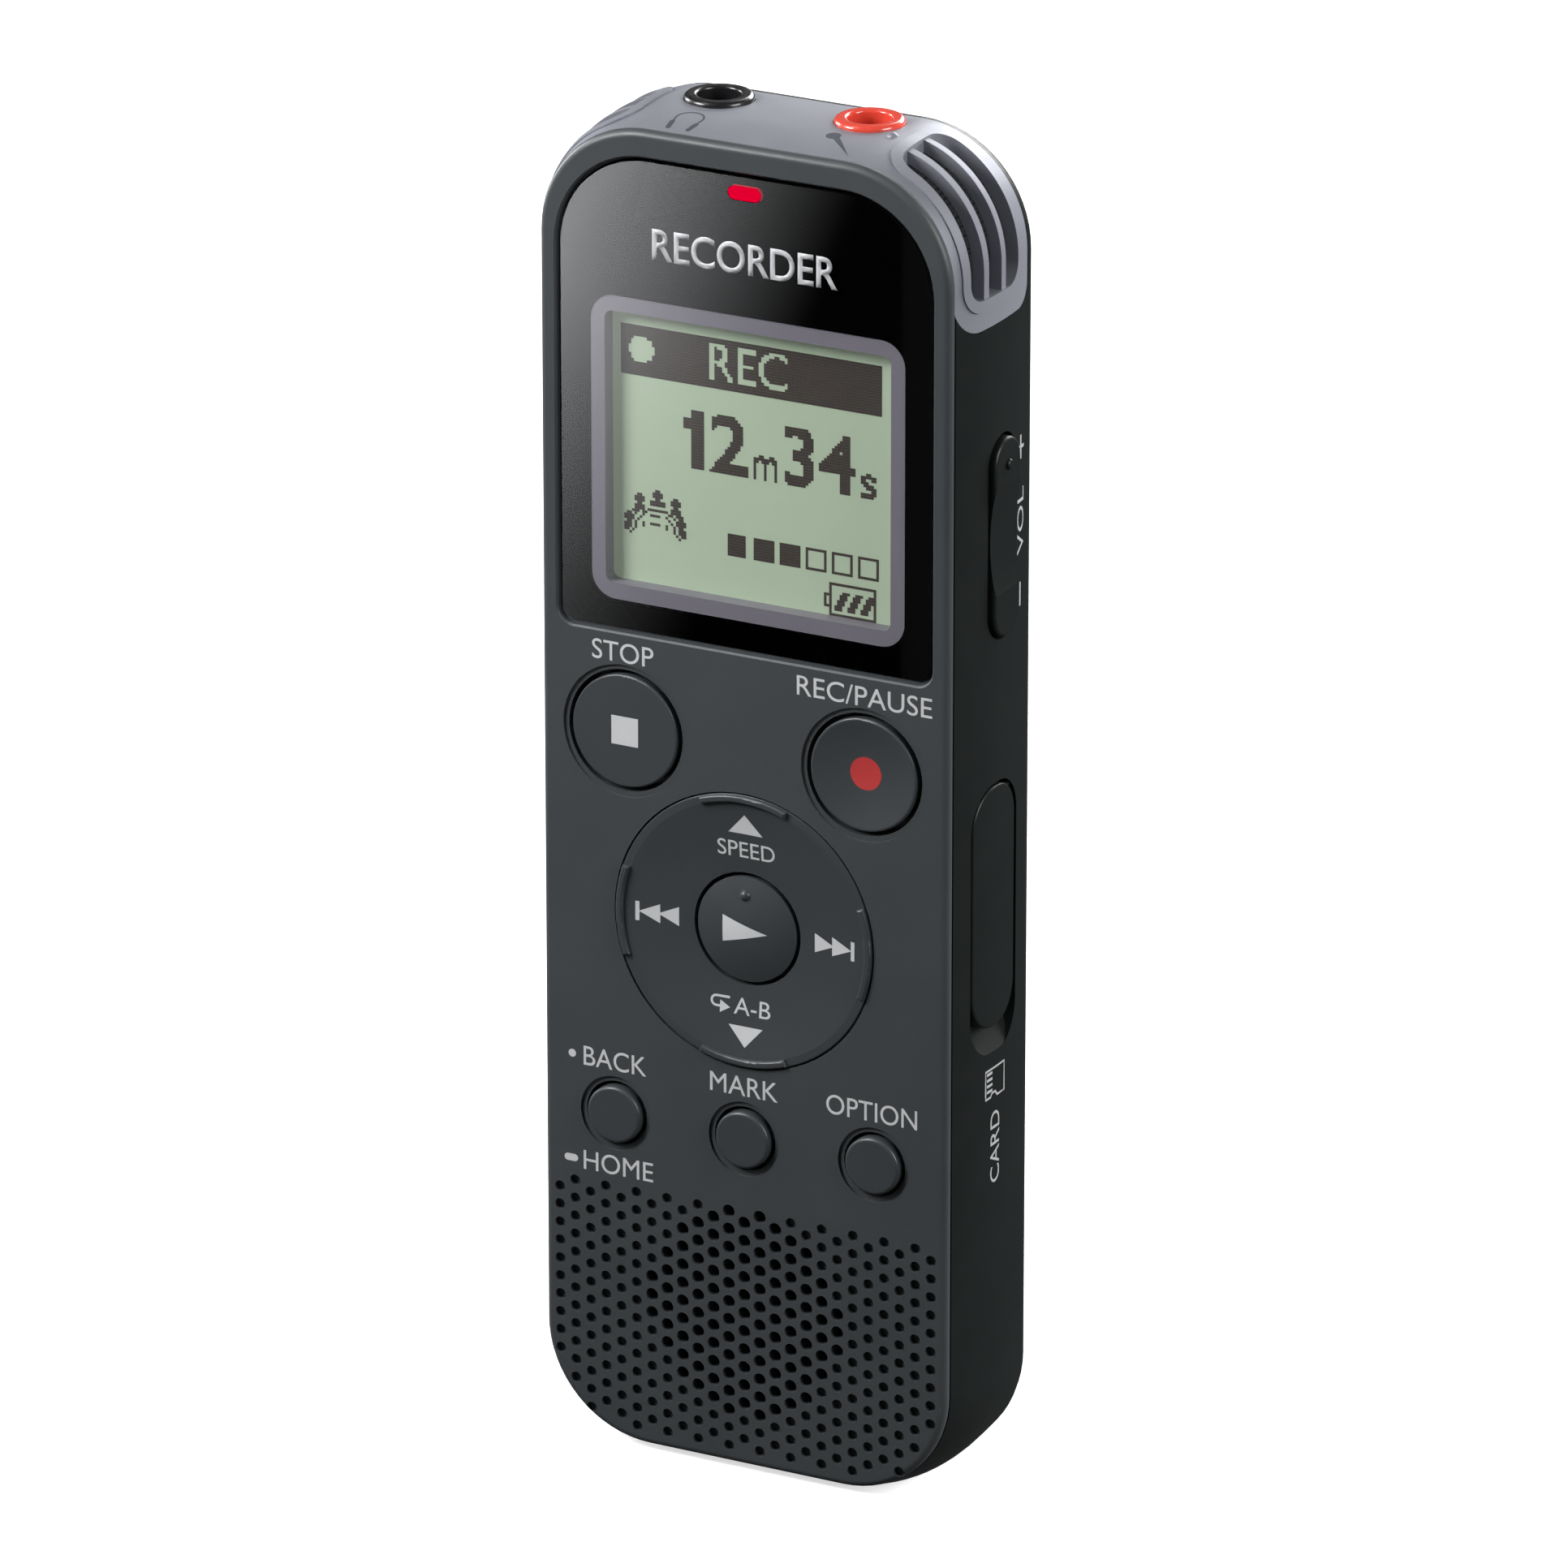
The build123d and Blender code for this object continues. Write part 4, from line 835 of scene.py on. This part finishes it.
def display_dots():
    """All the dark dots of the picture."""
    ball_u, ball_v, ball_radius = HEADER_BALL
    ball = {(c, r) for c, r in dot_block(*BALL_LIMITS)
            if hypot((c + 0.5) * DOT - ball_u, (r + 0.5) * DOT - ball_v) < ball_radius}
    dots = dot_block(*HEADER) - ball - dots_from_text("REC", *TITLE_LIMITS, 0.0)
    for limits in DIGIT_ONE:
        dots |= dot_block(*limits)
    dots |= dots_from_text("2", -3.0, 0.4, *DIGIT_ROW, 0.02)
    dots |= dots_from_text("m", 0.85, 3.15, *UNIT_ROW, 0.01)
    dots |= dots_from_text("34", 3.7, 10.2, *DIGIT_ROW, 0.02)
    dots |= dots_from_text("s", 10.55, 12.0, *UNIT_ROW, 0.01)
    dots |= dot_pattern(MEETING_SIGN, *SIGN_CORNER)
    for index in range(LEVEL_COUNT):
        u = LEVEL_START + LEVEL_PITCH * index
        shape = dot_block if index < LEVELS_FULL else dot_frame
        dots |= shape(u, u + LEVEL_WIDTH, *LEVEL_ROW)
    for limits in BATTERY_FRAMES:
        dots |= dot_frame(*limits)
    for index in range(3):
        for step in range(CHARGE_ROWS):
            u = CHARGE_START + CHARGE_PITCH * index + CHARGE_LEAN * step
            low = CHARGE_LOW + DOT * step
            dots |= dot_block(u, u + CHARGE_WIDTH, low, CHARGE_LOW + DOT * (step + 1))
    return dots


def print_display_picture():
    """Every dark dot as a small flat block on the panel."""
    bm = bmesh.new()
    surface = PANEL_LOW.y - DOT_THICK
    for column, row in sorted(display_dots()):
        u_low = column * DOT + DISPLAY_SHIFT[0]
        v_low = row * DOT + DISPLAY_SHIFT[1]
        corners = rectangle(u_low + DOT_GAP, u_low + DOT - DOT_GAP, v_low + DOT_GAP, v_low + DOT - DOT_GAP)
        near = [bm.verts.new((u * MM, surface * MM, v * MM)) for u, v in corners]
        far = [bm.verts.new((u * MM, (surface + DOT_THICK) * MM, v * MM)) for u, v in corners]
        bm.faces.new(near)
        bm.faces.new(far[::-1])
        for i in range(4):
            j = (i + 1) % 4
            bm.faces.new([near[j], near[i], far[i], far[j]])
    body = NODES["display_panel"]["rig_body"]
    piece_from("display_picture", bm, DISPLAY_INK, body)


# ======== Stage ========
TARGET = Vector((3.68, FRONT_Y, 60.62)) * MM
CAMERA_YAW = radians(28.09)
CAMERA_RISE = radians(20.41)
CAMERA_DISTANCE = 1.0144
CAMERA_LENS = 291.3

WORLD_FILL = 0.06
FLOOR_GLOW = 0.65
FLOOR_HALF = 3.0        # metres
# name, yaw and rise in degrees, distance in metres, size in metres, power in watts
LIGHTS = [
    ("key_light", -48, 36, 0.34, (0.14, 0.14), 1.5),
    ("top_light", 180, 24, 1.0, (0.7, 0.4), 8.0),
    ("right_light", 86, 24, 1.0, (0.5, 0.5), 8.5),
    ("left_rim_light", -97, 12, 0.8, (0.3, 0.4), 5.0),
    ("rim_light", -58, 64, 0.7, (0.3, 0.1), 0.5),
    ("rear_light", 150, 6, 0.9, (0.5, 0.3), 12.0),
]
NOT_MIRRORED = {"rear_light"}

# The reflector over the floor: its height and, carried to the window's plane, its limits, in mm.
REFLECTOR_LIFT = 0.5
REFLECTOR_LEFT = -22.0
REFLECTOR_WIDTH = 36.0
REFLECTOR_LOW = 66.0
REFLECTOR_HIGH = 116.0
REFLECTOR_COLUMNS, REFLECTOR_ROWS = 48, 30
GLOW_PEAK = 6.4
GLOW_FALL = 1.6         # power by which the glow dies away to the right
GLOW_FOOT = 0.42        # share of the glow that is left at the window's lower edge


def towards(yaw, rise):
    """Unit vector from the object to a viewer: yaw turns from the front to the right."""
    return Vector((sin(yaw) * cos(rise), -cos(yaw) * cos(rise), sin(rise)))


def aim(thing, target):
    direction = target - thing.location
    thing.rotation_euler = direction.to_track_quat("-Z", "Y").to_euler()


def add_camera():
    data = bpy.data.cameras.new("camera")
    data.lens = CAMERA_LENS
    data.sensor_width = 36.0
    data.clip_start = 0.01
    camera = bpy.data.objects.new("camera", data)
    bpy.context.scene.collection.objects.link(camera)
    camera.location = TARGET + towards(CAMERA_YAW, CAMERA_RISE) * CAMERA_DISTANCE
    aim(camera, TARGET)
    bpy.context.scene.camera = camera


def add_area(name, yaw, rise, distance, size, power):
    data = bpy.data.lights.new(name, "AREA")
    data.shape = "RECTANGLE"
    data.size, data.size_y = size
    data.energy = power
    light = bpy.data.objects.new(name, data)
    bpy.context.scene.collection.objects.link(light)
    light.location = TARGET + towards(radians(yaw), radians(rise)) * distance
    aim(light, TARGET)
    light.visible_glossy = name not in NOT_MIRRORED


def add_floor():
    bm = bmesh.new()
    bmesh.ops.create_grid(bm, x_segments=8, y_segments=8, size=FLOOR_HALF)
    mesh = bpy.data.meshes.new("floor")
    bm.to_mesh(mesh)
    bm.free()
    floor = bpy.data.objects.new("floor", mesh)
    bpy.context.scene.collection.objects.link(floor)
    g = Graph("pale_floor")
    shader = g.principled(Roughness=0.8)
    g.link(g.blend(g.noise(3.0), (0.66, 0.66, 0.66), (0.70, 0.70, 0.70)), shader.inputs["Base Color"])
    shader.inputs["Emission Color"].default_value = (1, 1, 1, 1)
    shader.inputs["Emission Strength"].default_value = FLOOR_GLOW
    mesh.materials.append(g.finish(shader))
    floor.visible_glossy = False
    floor.visible_diffuse = False


def add_window_card():
    """Glowing gradient on the floor that only glossy surfaces mirror, like a studio reflector.

    It is laid out on the window's plane and carried to the floor along the mirrored sight lines.
    """
    sight = (TARGET + towards(CAMERA_YAW, CAMERA_RISE) * CAMERA_DISTANCE) / MM
    source = Vector((sight.x, 2 * FRONT_Y - sight.y, sight.z))
    bm = bmesh.new()
    glow = bm.verts.layers.float.new("glow")
    grid = []
    for row in range(REFLECTOR_ROWS + 1):
        z = REFLECTOR_LOW + (REFLECTOR_HIGH - REFLECTOR_LOW) * row / REFLECTOR_ROWS
        line = []
        for column in range(REFLECTOR_COLUMNS + 1):
            x = REFLECTOR_LEFT + REFLECTOR_WIDTH * column / REFLECTOR_COLUMNS
            along = (source.z - REFLECTOR_LIFT) / (source.z - z)
            point = source + (Vector((x, FRONT_Y, z)) - source) * along
            vertex = bm.verts.new(point * MM)
            vertex[glow] = card_glow(x, z)
            line.append(vertex)
        grid.append(line)
    for lower, upper in zip(grid, grid[1:]):
        for i in range(REFLECTOR_COLUMNS):
            bm.faces.new([lower[i], lower[i + 1], upper[i + 1], upper[i]])
    mesh = bpy.data.meshes.new("window_card")
    bm.to_mesh(mesh)
    bm.free()
    card = bpy.data.objects.new("window_card", mesh)
    bpy.context.scene.collection.objects.link(card)
    g = Graph("card_glow")
    shine = g.node("ShaderNodeEmission")
    strength = g.node("ShaderNodeAttribute", attribute_name="glow")
    shine.inputs["Color"].default_value = (0.96, 0.98, 1.0, 1)
    g.link(strength.outputs["Fac"], shine.inputs["Strength"])
    mesh.materials.append(g.finish(shine))
    card.visible_camera = False
    card.visible_diffuse = False
    card.visible_shadow = False
    card.visible_transmission = False


def card_glow(x, z):
    """Brightest at the window's upper left, fading out towards its right and its lower edge.

    The line where it ends leans, from x = 9 at z = 107 to x = -4 at z = 73.
    """
    fade_end = 9.0 - 13.0 * (107.0 - z) / 34.0
    across = min(max((fade_end - x) / 24.0, 0.0), 1.0)
    upward = min(max((z - 73.0) / 27.0, 0.0), 1.0)
    return GLOW_PEAK * across ** GLOW_FALL * (GLOW_FOOT + (1 - GLOW_FOOT) * upward)


def add_lights():
    world = bpy.data.worlds.new("studio")
    world.use_nodes = True
    tree = world.node_tree
    tree.nodes.clear()
    output = tree.nodes.new("ShaderNodeOutputWorld")
    room = tree.nodes.new("ShaderNodeBackground")
    room.inputs["Color"].default_value = (0.95, 0.97, 1.0, 1)
    room.inputs["Strength"].default_value = WORLD_FILL
    behind = tree.nodes.new("ShaderNodeBackground")
    behind.inputs["Color"].default_value = (1, 1, 1, 1)
    behind.inputs["Strength"].default_value = 1.0
    ray = tree.nodes.new("ShaderNodeLightPath")
    mixed = tree.nodes.new("ShaderNodeMixShader")
    tree.links.new(ray.outputs["Is Camera Ray"], mixed.inputs["Fac"])
    tree.links.new(room.outputs[0], mixed.inputs[1])
    tree.links.new(behind.outputs[0], mixed.inputs[2])
    tree.links.new(mixed.outputs[0], output.inputs["Surface"])
    bpy.context.scene.world = world
    for light in LIGHTS:
        add_area(*light)


bpy.context.scene.view_settings.view_transform = "Standard"
add_camera()
dress_cad_nodes()
print_front_labels()
print_pad_marks()
print_key_marks()
print_window_lettering()
print_side_marks()
print_left_and_rear_marks()
print_top_signs()
print_display_picture()
add_floor()
add_window_card()
add_lights()
